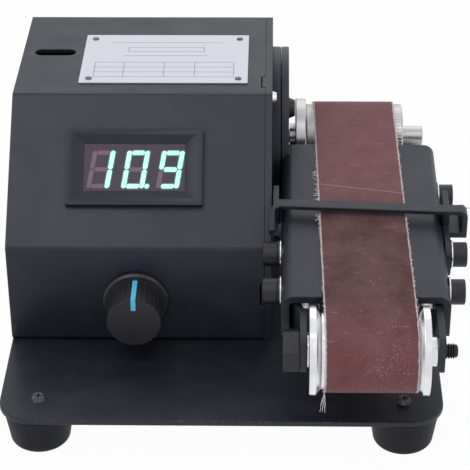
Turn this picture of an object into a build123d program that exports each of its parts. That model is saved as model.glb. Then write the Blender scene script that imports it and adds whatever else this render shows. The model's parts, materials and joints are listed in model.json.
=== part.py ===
"""Small bench belt grinder: a motor casing on a base plate with a tilting belt arm on its right side."""

import os
from math import cos, radians, sin

from build123d import *

# ---------------------------------------------------------------- driving dimensions, in millimetres
# Base plate and feet
plate_width = 150.0
plate_depth = 155.5
plate_thick = 2.0
plate_corner = 12.0
foot_height = 14.0
foot_top_radius = 12.0
foot_bottom_radius = 10.3
foot_inset_x = 13.2
foot_inset_y = 12.0

# Casing: a folded sheet between two side panels
casing_width = 89.4
casing_front = 47.4          # lower front panel, behind the plate's front edge
casing_back = 155.0
casing_height = 75.9         # above the plate
slope_foot_height = 38.2     # where the slope begins, above the plate
slope_top_setback = 42.9     # where the slope ends, behind the lower front panel
sheet = 1.5
fold_radius = 2.2
motor_panel_thick = 2.5

# Motor, drive roller and the axis that the arm tilts about
axis_back = 126.9            # behind the plate's front edge
axis_height = 39.9           # above the plate
motor_radius = 21.0
motor_length = 66.0
motor_screw_circle = 14.5
shaft_radius = 2.5
boss_radius = 8.75
boss_length = 4.5
disc_radius = 33.5
disc_thick = 3.2
pilot_radius = 19.5
drum_radius = 12.0
collar_radius = 14.0
collar_width = 3.9
roller_length = 39.9
hub_radius = 4.6
stub_radius = 3.75
stub_length = 7.9
stub_chamfer = 0.3

# Arm
arm_droop = 4.0              # degrees below level at rest
arm_tilt_range = 94.0        # degrees from rest to upright
arm_sheet = 2.7
arm_width = 55.4
platen_height = 11.9         # platen face, above the line of the two roller axes
wall_depth = 16.0
centre_distance = 130.0      # from the drive axis to the idler's, forward along the arm
platen_start = 25.0          # from the drive axis, as every reach is
platen_setback = 12.8        # from the platen's front end to the idler's axis
platen_end = centre_distance - platen_setback
arm_bend_outer = 4.0
arm_bend_inner = 1.3

# Belt and idler
belt_width = 30.0
belt_thick = 0.8
belt_gap = 0.1               # between the belt and each drum
idler_drum_radius = 12.7
idler_flange_radius = 14.6
idler_length = 38.6
belt_setback = 13.6          # from the arm's left face to the belt's left edge

# Fork, axle and tension screws
fork_thick = 2.3
fork_travel = 1.2            # towards the drive roller, to slacken the belt
fork_gap = 0.15
axle_radius = 4.0
axle_thread_radius = 2.5
cap_screw_radius = 2.5
cap_head_radius = 4.25
cap_head_height = 4.9
screw_height = 5.2           # tension screws, above the line of the two roller axes
screw_rear_setback = 46.0    # from each to the idler's axis
screw_front_setback = 24.8
anchor_setback = 83.1
screw_rear = centre_distance - screw_rear_setback
screw_front = centre_distance - screw_front_setback
anchor_reach = centre_distance - anchor_setback
anchor_height = 4.05
washer_thick = 0.5
washer_radius = 5.0

# Tool rest
rest_thick = 2.1
rest_bar_thick = 1.5
rest_bar_width = 4.4
rest_leg_width = 13.7
rest_leg_setback = 71.7      # from the left leg's rear edge to the idler's axis
rest_leg_start = centre_distance - rest_leg_setback
rest_height = 16.2           # top of the bar, above the line of the two roller axes
rest_overhang = 8.4          # from the arm's right face to the outer face of the right leg
rest_skew = 3.3              # the bar's right end lies this much further forward
rest_travel = 3.0

# Meter, knob and nameplate
meter_width = 47.6
meter_height = 28.4
meter_left = 20.2
meter_rise = 15.1            # from the foot of the slope to the bezel's lower edge
window_width = 35.4
window_height = 17.5
knob_left = 44.7
knob_height = 17.2           # above the plate
knob_radius = 9.4
knob_length = 14.4
skirt_radius = 11.6
nameplate_width = 60.4
nameplate_depth = 39.6
nameplate_left = 22.6
nameplate_front = 98.2

# Fits
running_gap = 0.05           # a shaft in its bore, or two plates that slide on each other
seat_gap = 0.1               # a piece in its pocket

# ---------------------------------------------------------------- places that follow
rivet_height = 0.5
nameplate_thick = 0.5
inlet_flange_thick = 1.6

droop = radians(arm_droop)
side_right = casing_width + motor_panel_thick
arm_offset = side_right + disc_thick + seat_gap
front_reach = axis_back - centre_distance * cos(droop) - idler_flange_radius
back_reach = max(casing_back + inlet_flange_thick, axis_back + disc_radius)
hub_clearance = 2.5          # between the pilot and the drive roller
right_reach = arm_offset + arm_width + rest_overhang

# The origin is on the bench, under the middle of the whole machine.
left = -right_reach / 2
front = -(front_reach + back_reach) / 2
plate_top = foot_height + plate_thick
axis_y = front + axis_back
axis_z = plate_top + axis_height
case_front_y = front + casing_front
case_back_y = front + casing_back
case_top_z = plate_top + casing_height
case_right_x = left + casing_width
panel_x = left + side_right
arm_x = left + arm_offset
arm_right_x = arm_x + arm_width
pilot_face_x = arm_x + arm_sheet + seat_gap
belt_x = arm_x + belt_setback
roller_x = pilot_face_x + hub_clearance
drum_end_x = roller_x + roller_length
knob_x = left + knob_left
knob_z = plate_top + knob_height
wall_bottom = platen_height - wall_depth

slope_low = (case_front_y, plate_top + slope_foot_height)
slope_high = (case_front_y + slope_top_setback, case_top_z)
slope_run = slope_high[0] - slope_low[0]
slope_rise = slope_high[1] - slope_low[1]
slope_length = (slope_run**2 + slope_rise**2) ** 0.5


def arm_point(reach, height, x=0.0):
    """A point on the arm: reach forward from the drive axis, height above the line of the two axes."""
    return (
        x,
        axis_y - reach * cos(droop) - height * sin(droop),
        axis_z - reach * sin(droop) + height * cos(droop),
    )


def arm_side(x):
    """The arm seen along +X: local x runs back, so a reach is negative; local y runs up."""
    return Plane(origin=(x, axis_y, axis_z), x_dir=(0, cos(droop), sin(droop)), z_dir=(1, 0, 0))


def arm_level(height):
    """A plane parallel to the platen: local x runs right, and local y runs back."""
    return Plane(origin=arm_point(0, height), x_dir=(1, 0, 0), z_dir=(0, -sin(droop), cos(droop)))


def slope_plane(x, rise, out=0.0):
    """A plane on the slope's outer face: local x runs right, local y up the slope, normal outwards."""
    y = slope_low[0] + slope_run * rise / slope_length - out * slope_rise / slope_length
    z = slope_low[1] + slope_rise * rise / slope_length + out * slope_run / slope_length
    return Plane(origin=(x, y, z), x_dir=(1, 0, 0), z_dir=(0, -slope_rise, slope_run))


def arm_section(reach):
    """A section across the arm, looking back along it: local x runs right, local y up from the axes."""
    return Plane(origin=arm_point(reach, 0), x_dir=(1, 0, 0), z_dir=(0, -cos(droop), -sin(droop)))


def side_plane(x, outward=1):
    """The casing seen along X: for outward 1, local x runs back, local y up and the normal right."""
    return Plane(origin=(x, 0, 0), x_dir=(0, outward, 0), z_dir=(outward, 0, 0))


def facing(x, y, z, direction):
    """A seat at a point, its normal along the direction."""
    return Plane(origin=(x, y, z), z_dir=direction)


def finish(part, name):
    """Label a piece and write it."""
    part.label = name
    export_step(part, f"parts/{name}.step")


# ---------------------------------------------------------------- shapes drawn into the open part
RIGHT = (1, 0, 0)
LEFT = (-1, 0, 0)
FORWARD = (0, -1, 0)
BACK = (0, 1, 0)
UP = (0, 0, 1)
DOWN = (0, 0, -1)


def rod(plane, radius, length):
    """A round rod from the plane along its normal."""
    with BuildSketch(plane) as profile:
        Circle(radius)
    extrude(profile.sketch, amount=length)


def tube(plane, outer, inner, length):
    """A round tube from the plane along its normal."""
    with BuildSketch(plane) as profile:
        Circle(outer)
        Circle(inner, mode=Mode.SUBTRACT)
    extrude(profile.sketch, amount=length)


def drill(plane, radius, depth):
    """A round hole from the plane against its normal."""
    with BuildSketch(plane) as profile:
        Circle(radius)
    extrude(profile.sketch, amount=-depth, mode=Mode.SUBTRACT)


def block(low, high, mode=Mode.ADD):
    """A square block between two corners."""
    with BuildSketch(Plane.XY.offset(low[2])) as profile:
        with Locations(((low[0] + high[0]) / 2, (low[1] + high[1]) / 2)):
            Rectangle(high[0] - low[0], high[1] - low[1])
    extrude(profile.sketch, amount=high[2] - low[2], mode=mode)


def turned(plane, points):
    """A ring whose section has (distance along the normal, radius) points, about the plane's normal."""
    section = Plane(origin=plane.origin, x_dir=plane.z_dir, z_dir=plane.x_dir)
    with BuildSketch(section) as profile:
        with BuildLine():
            Polyline(*points, close=True)
        make_face()
    revolve(profile.sketch, axis=Axis(plane.origin, plane.z_dir))


def cross_recess(plane, size, depth):
    """A Phillips recess in a head whose top is the plane."""
    with BuildSketch(plane) as profile:
        Rectangle(size, size * 0.24)
        Rectangle(size * 0.24, size)
    extrude(profile.sketch, amount=-depth, mode=Mode.SUBTRACT)


def pan_screw(plane, radius, head_radius, head_height, length):
    """A pan head seated on the plane, with its shank below."""
    with BuildSketch(plane) as profile:
        Circle(head_radius)
    extrude(profile.sketch, amount=head_height, taper=22)
    rod(plane, radius, -length)
    cross_recess(plane.offset(head_height), head_radius * 1.1, head_height * 0.6)


def sunk_screw(plane, radius, head_radius, length):
    """A countersunk head flush with the plane, with its shank below."""
    sink = head_radius - radius
    turned(plane, [(0, 0), (0, head_radius), (-sink, radius), (-length, radius), (-length, 0)])
    cross_recess(plane, head_radius, sink * 0.6)


def sunk_hole(plane, radius, head_radius, depth):
    """A countersunk hole from the plane against its normal, a little larger than its screw."""
    drill(plane, radius + hole_gap, depth)
    with BuildSketch(plane) as mouth:
        Circle(head_radius + running_gap)
    extrude(mouth.sketch, amount=-(head_radius - radius), taper=45, mode=Mode.SUBTRACT)


def cap_screw(plane, length):
    """A socket cap screw whose head is seated on the plane, with its shank below."""
    rod(plane, cap_head_radius, cap_head_height)
    rod(plane, cap_screw_radius, -length)
    with BuildSketch(plane.offset(cap_head_height)) as socket:
        RegularPolygon(cap_head_radius * 0.54, 6)
    extrude(socket.sketch, amount=-cap_head_height * 0.55, mode=Mode.SUBTRACT)


def hex_nut(plane, across_flats, bore, height):
    """A nut from the plane along its normal."""
    with BuildSketch(plane) as profile:
        RegularPolygon(across_flats / 2, 6, major_radius=False)
        Circle(bore, mode=Mode.SUBTRACT)
    extrude(profile.sketch, amount=height)


os.makedirs("parts", exist_ok=True)

# ---------------------------------------------------------------- screws and their holes
m5_radius = cap_screw_radius
m4_radius = 2.0
m3_radius = 1.5
hole_gap = 0.15              # round a screw that passes through
thread_gap = running_gap     # round a screw in its thread
m4_head_radius = 3.9
m4_head_height = 2.2
low_head_radius = 3.5
low_head_height = 1.2
m3_head_radius = 2.5
m3_head_height = 1.5
m3_nut_flats = 5.5
m3_nut_height = 2.4
m3_sunk_radius = 3.0
m5_sunk_radius = 5.0

# ---------------------------------------------------------------- base plate and feet
plate_centre_x = left + plate_width / 2
plate_centre_y = front + plate_depth / 2
foot_spots = [
    (x, y)
    for x in (left + foot_inset_x, left + plate_width - foot_inset_x)
    for y in (front + foot_inset_y, front + plate_depth - foot_inset_y)
]

foot_flange = 11.0           # the casing's front sheet turns in under it this far
bracket_size = 12.0
bracket_length = 13.0
bracket_screw_inset = 7.0
bracket_rows = (case_front_y + foot_flange + bracket_length / 2 + 0.5, case_back_y - 33.0)
bracket_sides = ((left + sheet, 1), (case_right_x, -1))
bracket_spots = [(x + turn * bracket_screw_inset, y) for x, turn in bracket_sides for y in bracket_rows]

board_left = left + 16.0
board_front = front + 74.0
board_width = 58.0
board_depth = 29.0
board_thick = 1.6
board_lift = 8.0
board_hole_inset = 3.5
board_pin_radius = 1.4
board_spots = [
    (x, y)
    for x in (board_left + board_hole_inset, board_left + board_width - board_hole_inset)
    for y in (board_front + board_hole_inset, board_front + board_depth - board_hole_inset)
]

with BuildPart() as base_plate:
    with BuildSketch(Plane.XY.offset(foot_height)):
        with Locations((plate_centre_x, plate_centre_y)):
            RectangleRounded(plate_width, plate_depth, plate_corner)
        with Locations(*foot_spots):
            Circle(m3_radius + hole_gap, mode=Mode.SUBTRACT)
        with Locations(*bracket_spots):
            Circle(m3_radius + hole_gap, mode=Mode.SUBTRACT)
        with Locations(*board_spots):
            Circle(board_pin_radius + seat_gap, mode=Mode.SUBTRACT)
    extrude(amount=plate_thick)
    chamfer(base_plate.faces().sort_by(Axis.Z)[-1].outer_wire().edges(), length=0.3)
finish(base_plate.part, "base_plate")

foot_web = 3.0
foot_pocket_radius = 4.6
foot_rim_cut = 2.2
foot_hole_radius = m3_radius + hole_gap
with BuildPart() as rubber_feet:
    for x, y in foot_spots:
        turned(
            facing(x, y, 0, UP),
            [
                (foot_height, foot_hole_radius),
                (foot_height, foot_top_radius),
                (foot_rim_cut, foot_bottom_radius + 0.2),
                (foot_rim_cut * 0.3, foot_bottom_radius - foot_rim_cut * 0.3),
                (0, foot_bottom_radius - foot_rim_cut),
                (0, foot_pocket_radius),
                (foot_height - foot_web, foot_pocket_radius),
                (foot_height - foot_web, foot_hole_radius),
            ],
        )
finish(rubber_feet.part, "rubber_feet")

foot_screw_length = plate_thick + foot_web + m3_nut_height + 1.0
with BuildPart() as foot_screws:
    for x, y in foot_spots:
        seat = facing(x, y, plate_top, UP)
        pan_screw(seat, m3_radius, m3_head_radius, m3_head_height, foot_screw_length)
finish(foot_screws.part, "foot_screws")

with BuildPart() as foot_nuts:
    for x, y in foot_spots:
        seat = facing(x, y, foot_height - foot_web, DOWN)
        hex_nut(seat, m3_nut_flats, m3_radius + thread_gap, m3_nut_height)
finish(foot_nuts.part, "foot_nuts")

# ---------------------------------------------------------------- casing sheet
tab_depth = 1.1
tab_length = 8.0
tab_top_y = slope_high[0] + 5.6
tab_front_z = plate_top + 15.3
ear_length = 11.0
ear_drop = 10.0
top_ear_y = slope_high[0] + 10.0
side_top_screw_z = case_top_z - sheet - ear_drop / 2
rear_ear_y = case_back_y - sheet - 5.5
rear_screw_low_z = plate_top + 8.0
rear_ear_half = 3.3
rear_screw_high_z = case_top_z - sheet - seat_gap - rear_ear_half
bracket_screw_z = plate_top + 7.0
front_screw_spots = [(top_ear_y, side_top_screw_z), (bracket_rows[0], bracket_screw_z)]
rear_screw_spots = [(rear_ear_y, rear_screw_high_z), (rear_ear_y, rear_screw_low_z)]
casing_outline = [(case_front_y, plate_top), slope_low, slope_high, (case_back_y, case_top_z)]


tab_gap = 0.4


def box_tabs(gap, mode):
    """The small tabs of a box joint along the casing's right edge: one in the top, one in the front."""
    middle_x = case_right_x - tab_depth / 2
    with BuildSketch(Plane.XY.offset(case_top_z - sheet)) as top_tab:
        with Locations((middle_x, tab_top_y + tab_length / 2)):
            Rectangle(tab_depth + 2 * gap, tab_length + 2 * gap)
    extrude(top_tab.sketch, amount=sheet, mode=mode)
    with BuildSketch(Plane(origin=(0, case_front_y, 0), x_dir=RIGHT, z_dir=FORWARD)) as front_tab:
        with Locations((middle_x, tab_front_z + tab_length / 2)):
            Rectangle(tab_depth + 2 * gap, tab_length + 2 * gap)
    extrude(front_tab.sketch, amount=-sheet, mode=mode)


coin_slot_left = 4.4
coin_slot_length = 15.0
coin_slot_width = 5.0
coin_slot_back = 124.0
rivet_radius = 0.9
rivet_head_radius = 1.3
rivet_inset = 3.4
rivet_spots = [
    (x, y)
    for x in (left + nameplate_left + rivet_inset, left + nameplate_left + nameplate_width - rivet_inset)
    for y in (front + nameplate_front + rivet_inset, front + nameplate_front + nameplate_depth - rivet_inset)
]
meter_centre_x = left + meter_left + meter_width / 2
meter_centre_rise = meter_rise + meter_height / 2
meter_body_width = 45.0
meter_body_height = 25.5
meter_body_depth = 18.0
bushing_radius = 3.5
with BuildPart() as casing:
    with BuildSketch(side_plane(left)):
        with BuildLine():
            folded = FilletPolyline(
                (case_front_y + foot_flange, plate_top), *casing_outline, radius=fold_radius
            )
            offset(folded, amount=sheet, side=Side.RIGHT)
        make_face()
    extrude(amount=casing_width)
    # Ears folded down from the top, which the side panels are screwed to
    for ear_x in (left + sheet + seat_gap, case_right_x - sheet - seat_gap):
        block(
            (ear_x, top_ear_y - ear_length / 2, case_top_z - sheet - ear_drop),
            (ear_x + sheet, top_ear_y + ear_length / 2, case_top_z - sheet),
        )
    box_tabs(tab_gap, Mode.SUBTRACT)
    with BuildSketch(Plane.XY.offset(case_top_z)):
        with Locations((left + coin_slot_left + coin_slot_length / 2, front + coin_slot_back)):
            SlotOverall(coin_slot_length, coin_slot_width)
        with Locations(*rivet_spots):
            Circle(rivet_radius + running_gap)
    extrude(amount=-sheet, mode=Mode.SUBTRACT)
    with BuildSketch(slope_plane(meter_centre_x, meter_centre_rise)):
        Rectangle(meter_body_width + 2 * seat_gap, meter_body_height + 2 * seat_gap)
    extrude(amount=-2 * sheet, mode=Mode.SUBTRACT)
    drill(facing(knob_x, case_front_y, knob_z, FORWARD), bushing_radius + seat_gap, sheet)
    for ear_x in (left, case_right_x - 2 * sheet):
        hole = facing(ear_x + 4 * sheet, top_ear_y, side_top_screw_z, RIGHT)
        drill(hole, m3_radius + thread_gap, 6 * sheet)
finish(casing.part, "casing")

# ---------------------------------------------------------------- side, rear and motor panels
panel_inset = sheet + seat_gap


def screw_holes(x, spots, radius, depth):
    """Holes through a side panel whose outer face is at x, each at a (y, z) spot."""
    for y, z in spots:
        drill(facing(x, y, z, RIGHT), radius, depth)


with BuildPart() as left_side_panel:
    with BuildSketch(side_plane(left)) as left_panel_outline:
        with BuildLine():
            Polyline(*casing_outline, (case_back_y, plate_top), close=True)
        make_face()
        offset(amount=-panel_inset, kind=Kind.INTERSECTION)
        fillet(left_panel_outline.vertices().group_by(Axis.X)[0], radius=fold_radius - sheet + seat_gap)
        foot_low = case_front_y + foot_flange + seat_gap
        foot_high = case_back_y - panel_inset
        with Locations(((foot_low + foot_high) / 2, plate_top + seat_gap + 2)):
            Rectangle(foot_high - foot_low, 4)
    extrude(amount=sheet)
    for y, z in front_screw_spots + rear_screw_spots:
        sunk_hole(facing(left, y, z, LEFT), m3_radius, m3_sunk_radius, sheet)
finish(left_side_panel.part, "left_side_panel")

disc_screw_circle = 28.5
disc_screw_angles = (35, 155, 275)
clamp_circle = 26.5
clamp_angles = (55, 235)
clamp_recess_depth = 1.3
motor_screw_angles = (107, 287)


def on_drive_axis(x, radius, angle, direction=RIGHT):
    """A seat at a radius from the drive axis, the angle measured from back towards up."""
    y = axis_y + radius * cos(radians(angle))
    z = axis_z + radius * sin(radians(angle))
    return facing(x, y, z, direction)


with BuildPart() as right_side_panel:
    with BuildSketch(side_plane(case_right_x)):
        with BuildLine():
            FilletPolyline(*casing_outline, radius=fold_radius)
            Polyline((case_back_y, case_top_z), (case_back_y, plate_top), (case_front_y, plate_top))
        make_face()
    extrude(amount=motor_panel_thick)
    box_tabs(0, Mode.ADD)
    drill(on_drive_axis(panel_x, 0, 0), boss_radius + seat_gap, motor_panel_thick)
    for angle in motor_screw_angles:
        drill(on_drive_axis(panel_x, motor_screw_circle, angle), m4_radius + hole_gap, motor_panel_thick)
    for angle in clamp_angles:
        drill(on_drive_axis(panel_x, clamp_circle, angle), m4_radius + thread_gap, motor_panel_thick)
    for angle in disc_screw_angles:
        drill(on_drive_axis(panel_x, disc_screw_circle, angle), m3_radius + thread_gap, motor_panel_thick)
    screw_holes(panel_x, front_screw_spots, m3_radius + hole_gap, motor_panel_thick)
    for y, z in rear_screw_spots:
        sunk_hole(facing(panel_x, y, z, RIGHT), m3_radius, m3_sunk_radius, motor_panel_thick)
finish(right_side_panel.part, "right_side_panel")

inlet_left = 20.0
inlet_height = 14.0
inlet_x = left + inlet_left
inlet_z = plate_top + inlet_height
inlet_radius = 5.5
vent_length = 26.0
vent_width = 3.0
vent_pitch = 6.0
vent_rows = 5
vent_centre_z = plate_top + casing_height * 0.62
rear_ear_depth = 11.0
with BuildPart() as rear_panel:
    block(
        (left, case_back_y - sheet, plate_top),
        (case_right_x - seat_gap, case_back_y, case_top_z - panel_inset),
    )
    for ear_x in (left + panel_inset, case_right_x - panel_inset):
        for hole_z in (rear_screw_low_z, rear_screw_high_z):
            block(
                (ear_x, case_back_y - sheet - rear_ear_depth, hole_z - rear_ear_half),
                (ear_x + sheet, case_back_y - sheet, hole_z + rear_ear_half),
            )
            drill(facing(ear_x + 2 * sheet, rear_ear_y, hole_z, RIGHT), m3_radius + thread_gap, 3 * sheet)
    vent_centre = (left + casing_width / 2, case_back_y, vent_centre_z)
    with BuildSketch(Plane(origin=vent_centre, x_dir=LEFT, z_dir=BACK)):
        with GridLocations(vent_length + vent_pitch, vent_pitch, 2, vent_rows):
            SlotOverall(vent_length, vent_width)
    extrude(amount=-sheet, mode=Mode.SUBTRACT)
    drill(facing(inlet_x, case_back_y, inlet_z, BACK), inlet_radius + seat_gap, sheet)
finish(rear_panel.part, "rear_panel")

with BuildPart() as case_brackets:
    for side_x, turn in bracket_sides:
        for y in bracket_rows:
            far_x = side_x + turn * bracket_size
            wall_x = side_x + turn * sheet
            near_y = y - bracket_length / 2
            block(
                (min(side_x, far_x), near_y, plate_top),
                (max(side_x, far_x), near_y + bracket_length, plate_top + sheet),
            )
            block(
                (min(side_x, wall_x), near_y, plate_top + sheet),
                (max(side_x, wall_x), near_y + bracket_length, plate_top + bracket_size),
            )
            foot_hole = facing(side_x + turn * bracket_screw_inset, y, plate_top + sheet, UP)
            drill(foot_hole, m3_radius + thread_gap, sheet)
            drill(facing(side_x + 2 * sheet, y, bracket_screw_z, RIGHT), m3_radius + thread_gap, 4 * sheet)
finish(case_brackets.part, "case_brackets")

with BuildPart() as base_screws:
    for x, y in bracket_spots:
        seat = facing(x, y, foot_height, DOWN)
        pan_screw(seat, m3_radius, m3_head_radius, m3_head_height, plate_thick + sheet + 1.0)
finish(base_screws.part, "base_screws")

with BuildPart() as side_panel_screws:
    for y, z in front_screw_spots + rear_screw_spots:
        sunk_screw(facing(left, y, z, LEFT), m3_radius, m3_sunk_radius, 2 * sheet + 0.6)
    for y, z in front_screw_spots:
        seat = facing(panel_x, y, z, RIGHT)
        pan_screw(seat, m3_radius, m3_head_radius, m3_head_height, motor_panel_thick + sheet + 0.6)
    for y, z in rear_screw_spots:
        seat = facing(panel_x, y, z, RIGHT)
        sunk_screw(seat, m3_radius, m3_sunk_radius, motor_panel_thick + sheet + 0.6)
finish(side_panel_screws.part, "side_panel_screws")

# ---------------------------------------------------------------- nameplate, meter and knob
nameplate_corner = 0.3
with BuildPart() as nameplate:
    with BuildSketch(Plane.XY.offset(case_top_z)):
        with Locations(
            (
                left + nameplate_left + nameplate_width / 2,
                front + nameplate_front + nameplate_depth / 2,
            )
        ):
            RectangleRounded(nameplate_width, nameplate_depth, nameplate_corner)
        with Locations(*rivet_spots):
            Circle(rivet_radius + running_gap, mode=Mode.SUBTRACT)
    extrude(amount=nameplate_thick)
finish(nameplate.part, "nameplate")

with BuildPart() as nameplate_rivets:
    for x, y in rivet_spots:
        seat = facing(x, y, case_top_z + nameplate_thick, UP)
        turned(
            seat,
            [
                (0, 0),
                (rivet_height, 0),
                (rivet_height * 0.85, rivet_head_radius * 0.55),
                (rivet_height * 0.4, rivet_head_radius * 0.9),
                (0, rivet_head_radius),
                (0, rivet_radius),
                (-nameplate_thick - 2 * sheet, rivet_radius),
                (-nameplate_thick - 2 * sheet, 0),
            ],
        )
finish(nameplate_rivets.part, "nameplate_rivets")

bezel_thick = 2.5
bezel_depth = 1.8            # from the bezel's face down to the display
bezel_corner = 0.5
bezel_rim = 2.4
display_thick = bezel_thick - bezel_depth
with BuildPart() as meter_bezel:
    with BuildSketch(slope_plane(meter_centre_x, meter_centre_rise)):
        RectangleRounded(meter_width, meter_height, bezel_corner)
        Rectangle(window_width, window_height, mode=Mode.SUBTRACT)
    extrude(amount=bezel_thick)
    # The frame slopes in from near the rim to the window
    with BuildSketch(slope_plane(meter_centre_x, meter_centre_rise, display_thick)):
        Rectangle(window_width, window_height)
    with BuildSketch(slope_plane(meter_centre_x, meter_centre_rise, bezel_thick)):
        Rectangle(meter_width - 2 * bezel_rim, meter_height - 2 * bezel_rim)
    loft(mode=Mode.SUBTRACT)
finish(meter_bezel.part, "meter_bezel")

with BuildPart() as meter_display:
    with BuildSketch(slope_plane(meter_centre_x, meter_centre_rise)):
        Rectangle(window_width - 2 * running_gap, window_height - 2 * running_gap)
    extrude(amount=display_thick)
finish(meter_display.part, "meter_display")

with BuildPart() as meter_body:
    with BuildSketch(slope_plane(meter_centre_x, meter_centre_rise)):
        Rectangle(meter_body_width, meter_body_height)
    extrude(amount=-meter_body_depth)
    fillet(meter_body.faces().sort_by(Axis.Z)[0].edges(), radius=1.0)
finish(meter_body.part, "meter_body")


def on_knob_axis(out):
    """A seat on the knob's axis, out in front of the casing, its normal forward."""
    return Plane(origin=(knob_x, case_front_y - out, knob_z), x_dir=RIGHT, z_dir=FORWARD)


pot_radius = 8.0
pot_depth = 9.0
knob_shaft_radius = 3.0
bushing_out = 4.0
pot_nut_thick = 2.0
pot_nut_flats = 10.0
pot_floor = 2.0
pot_bore_depth = bushing_out + sheet + pot_depth - pot_floor
with BuildPart() as potentiometer:
    rod(on_knob_axis(-sheet), pot_radius, -pot_depth)
    rod(on_knob_axis(-sheet), bushing_radius, sheet + bushing_out)
    drill(on_knob_axis(bushing_out), knob_shaft_radius + running_gap, pot_bore_depth)
finish(potentiometer.part, "potentiometer")

with BuildPart() as potentiometer_nut:
    hex_nut(on_knob_axis(0), pot_nut_flats, bushing_radius + thread_gap, pot_nut_thick)
finish(potentiometer_nut.part, "potentiometer_nut")

knob_clearance = 0.4
skirt_thick = 1.8
knob_shaft_end = 11.6
knob_flutes = 28
flute_radius = 0.55
pointer_width = 1.7
pointer_depth = 0.5
pointer_face_length = 4.6
knob_shaft_start = bushing_out - pot_bore_depth + 0.5
knob_hollow_radius = 6.6
knob_bore_rest = 0.2
with BuildPart() as potentiometer_shaft:
    rod(on_knob_axis(knob_shaft_start), knob_shaft_radius, knob_shaft_end - knob_shaft_start)
    chamfer(potentiometer_shaft.edges().sort_by(Axis.Y)[0], length=0.5)
finish(potentiometer_shaft.part, "potentiometer_shaft")


def pointer(gap, mode):
    """The pointer: a strip along the top of the knob, turned down over its front face."""
    half = pointer_width / 2 + gap
    skirt_y = case_front_y - knob_clearance - skirt_thick
    face_y = case_front_y - knob_length
    top_z = knob_z + knob_radius
    block(
        (knob_x - half, face_y, top_z - pointer_depth - gap),
        (knob_x + half, skirt_y, top_z + gap),
        mode,
    )
    block(
        (knob_x - half, face_y, top_z - pointer_face_length - gap),
        (knob_x + half, face_y + pointer_depth + gap, top_z - pointer_depth),
        mode,
    )


with BuildPart() as speed_knob:
    with BuildSketch(on_knob_axis(knob_clearance)):
        Circle(skirt_radius)
    extrude(amount=skirt_thick)
    chamfer(speed_knob.edges().sort_by(Axis.Y)[0], length=0.7)
    with BuildSketch(on_knob_axis(knob_clearance)):
        Circle(knob_radius)
        with PolarLocations(knob_radius + flute_radius * 0.35, knob_flutes, start_angle=180 / knob_flutes):
            Circle(flute_radius, mode=Mode.SUBTRACT)
    extrude(amount=knob_length - knob_clearance)
    drill(on_knob_axis(bushing_out + knob_clearance), knob_hollow_radius, bushing_out)
    drill(on_knob_axis(knob_shaft_end + knob_bore_rest), knob_shaft_radius + running_gap, knob_shaft_end)
    pointer(running_gap, Mode.SUBTRACT)
finish(speed_knob.part, "speed_knob")

with BuildPart() as knob_pointer:
    pointer(0, Mode.ADD)
finish(knob_pointer.part, "knob_pointer")

# ---------------------------------------------------------------- electrics in the casing
board_z = plate_top + board_lift
with BuildPart() as controller_board:
    block(
        (board_left, board_front, board_z),
        (board_left + board_width, board_front + board_depth, board_z + board_thick),
    )
    for x, y in board_spots:
        drill(facing(x, y, board_z + board_thick, UP), board_pin_radius + seat_gap, board_thick)
finish(controller_board.part, "controller_board")

standoff_radius = 3.0
standoff_pin_length = plate_thick + board_lift + board_thick + 1.0
with BuildPart() as board_standoffs:
    for x, y in board_spots:
        rod(facing(x, y, plate_top, UP), standoff_radius, board_lift)
        rod(facing(x, y, foot_height, UP), board_pin_radius, standoff_pin_length)
finish(board_standoffs.part, "board_standoffs")

capacitor_radius = 6.5
capacitor_height = 16.0
capacitor_x = board_left + 14.0
capacitor_y = board_front + 16.0
board_top_z = board_z + board_thick
with BuildPart() as capacitor:
    seat = facing(capacitor_x, capacitor_y, board_top_z, UP)
    rod(seat, capacitor_radius, capacitor_height)
    fillet(capacitor.edges().sort_by(Axis.Z)[-1], radius=0.8)
finish(capacitor.part, "capacitor")

sink_width = 20.0
sink_depth = 10.0
sink_height = 18.0
sink_back = 2.5
sink_fin_thick = 1.5
sink_fins = 5
sink_x = board_left + 30.0
sink_y = board_front + 16.0
sink_top_z = board_top_z + sink_height
with BuildPart() as heat_sink:
    block((sink_x, sink_y, board_top_z), (sink_x + sink_width, sink_y + sink_back, sink_top_z))
    for fin in range(sink_fins):
        fin_x = sink_x + fin * (sink_width - sink_fin_thick) / (sink_fins - 1)
        block(
            (fin_x, sink_y + sink_back, board_top_z),
            (fin_x + sink_fin_thick, sink_y + sink_depth, sink_top_z),
        )
finish(heat_sink.part, "heat_sink")

terminal_poles = 4
terminal_pitch = 5.0
terminal_depth = 7.0
terminal_screw_radius = 1.6
terminal_screw_depth = 3.0
terminal_x = board_left + 12.0
terminal_y = board_front + 0.5
terminal_top_z = board_top_z + 10.0
terminal_length = terminal_poles * terminal_pitch
with BuildPart() as terminal_block:
    block(
        (terminal_x, terminal_y, board_top_z),
        (terminal_x + terminal_length, terminal_y + terminal_depth, terminal_top_z),
    )
    for pole in range(terminal_poles):
        pole_x = terminal_x + (pole + 0.5) * terminal_pitch
        mouth = facing(pole_x, terminal_y + terminal_depth / 2, terminal_top_z, UP)
        drill(mouth, terminal_screw_radius, terminal_screw_depth)
finish(terminal_block.part, "terminal_block")

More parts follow.
